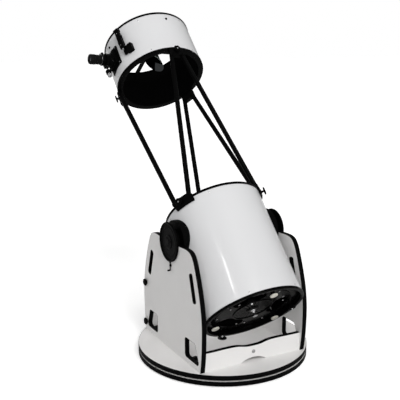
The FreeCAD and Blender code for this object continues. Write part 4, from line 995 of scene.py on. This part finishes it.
def add_floor():
    half, z = 60, -0.0006
    corners = [(-half, -half, z), (half, -half, z), (half, half, z), (-half, half, z)]
    mesh = bpy.data.meshes.new("floor")
    mesh.from_pydata(corners, [], [(0, 1, 2, 3)])
    floor = link_object("floor", mesh)
    mesh.materials.append(paper("floor_paper"))


def sun_lamp(name, towards, energy, angle, color):
    light = bpy.data.lights.new(name, "SUN")
    light.energy = energy
    light.angle = radians(angle)
    light.color = color
    lamp = link_object(name, light)
    lamp.rotation_euler = Vector(towards).normalized().to_track_quat("Z", "Y").to_euler()


def area_lamp(name, place, target, size, energy):
    light = bpy.data.lights.new(name, "AREA")
    light.shape = "RECTANGLE"
    light.size, light.size_y = size
    light.energy = energy
    lamp = link_object(name, light)
    lamp.location = place
    aim = Vector(target) - lamp.location
    lamp.rotation_euler = aim.to_track_quat("-Z", "Y").to_euler()
    return lamp


def add_world():
    """White to the camera; as a light, a gentle slope of strength along each axis."""
    world = bpy.data.worlds.new("studio")
    bpy.context.scene.world = world
    world.use_nodes = True
    tree = world.node_tree
    tree.nodes.clear()
    output = add_node(tree, "ShaderNodeOutputWorld")
    seen = add_node(tree, "ShaderNodeLightPath").outputs["Is Camera Ray"]
    coords = add_node(tree, "ShaderNodeTexCoord").outputs["Generated"]
    direction = add_node(tree, "ShaderNodeSeparateXYZ", {0: coords})
    strength = 0.36
    for axis, slope in (("Y", -0.16), ("Z", 0.10), ("X", -0.07)):
        inputs = {0: direction.outputs[axis], 1: slope, 2: strength}
        node = add_node(tree, "ShaderNodeMath", inputs, operation="MULTIPLY_ADD")
        strength = node.outputs[0]
    glow, backdrop = (
        add_node(tree, "ShaderNodeBackground", {0: (1, 1, 1), 1: level}).outputs[0]
        for level in (strength, 1.0)
    )
    mix = add_node(tree, "ShaderNodeMixShader", {0: seen, 1: glow, 2: backdrop})
    feed(tree, output.inputs[0], mix.outputs[0])


def add_camera():
    data = bpy.data.cameras.new("camera")
    data.lens = 64.29
    data.sensor_width = 36.0
    data.clip_end = 200.0
    camera = bpy.data.objects.new("camera", data)
    camera.matrix_world = axes(
        (0.883121, -0.469139, -0.002543),
        (0.102597, 0.187837, 0.976827),
        (-0.457790, -0.862917, 0.214015),
        (-1.73366, -3.02520, 1.56278),
    )
    bpy.context.scene.collection.objects.link(camera)
    bpy.context.scene.camera = camera


add_floor()
sun_lamp("key", towards=(-0.13, -0.72, 0.74), energy=1.26, angle=24, color=(1.0, 0.995, 0.985))
sun_lamp("low_front", towards=(-0.04, -0.94, 0.34), energy=0.56, angle=22,
         color=(0.99, 0.99, 1.0))
# Narrow strip whose reflection draws the bright line on the lower tube.
area_lamp("strip", place=(-2.38, -0.87, 2.49), target=(-0.166, -0.345, 0.54),
          size=(0.10, 0.42), energy=3.2)
# Soft fill under the tilted tube, for the inside of the rocker box.
box_fill = area_lamp("box_fill", place=(-0.02, 0.10, 0.34), target=(0.05, 0.16, 0.06),
                     size=(0.36, 0.22), energy=0.72)
box_fill.visible_camera = False
box_fill.visible_glossy = False
add_world()
add_camera()
bpy.context.scene.view_settings.view_transform = "Standard"
bpy.context.scene.view_settings.look = "None"
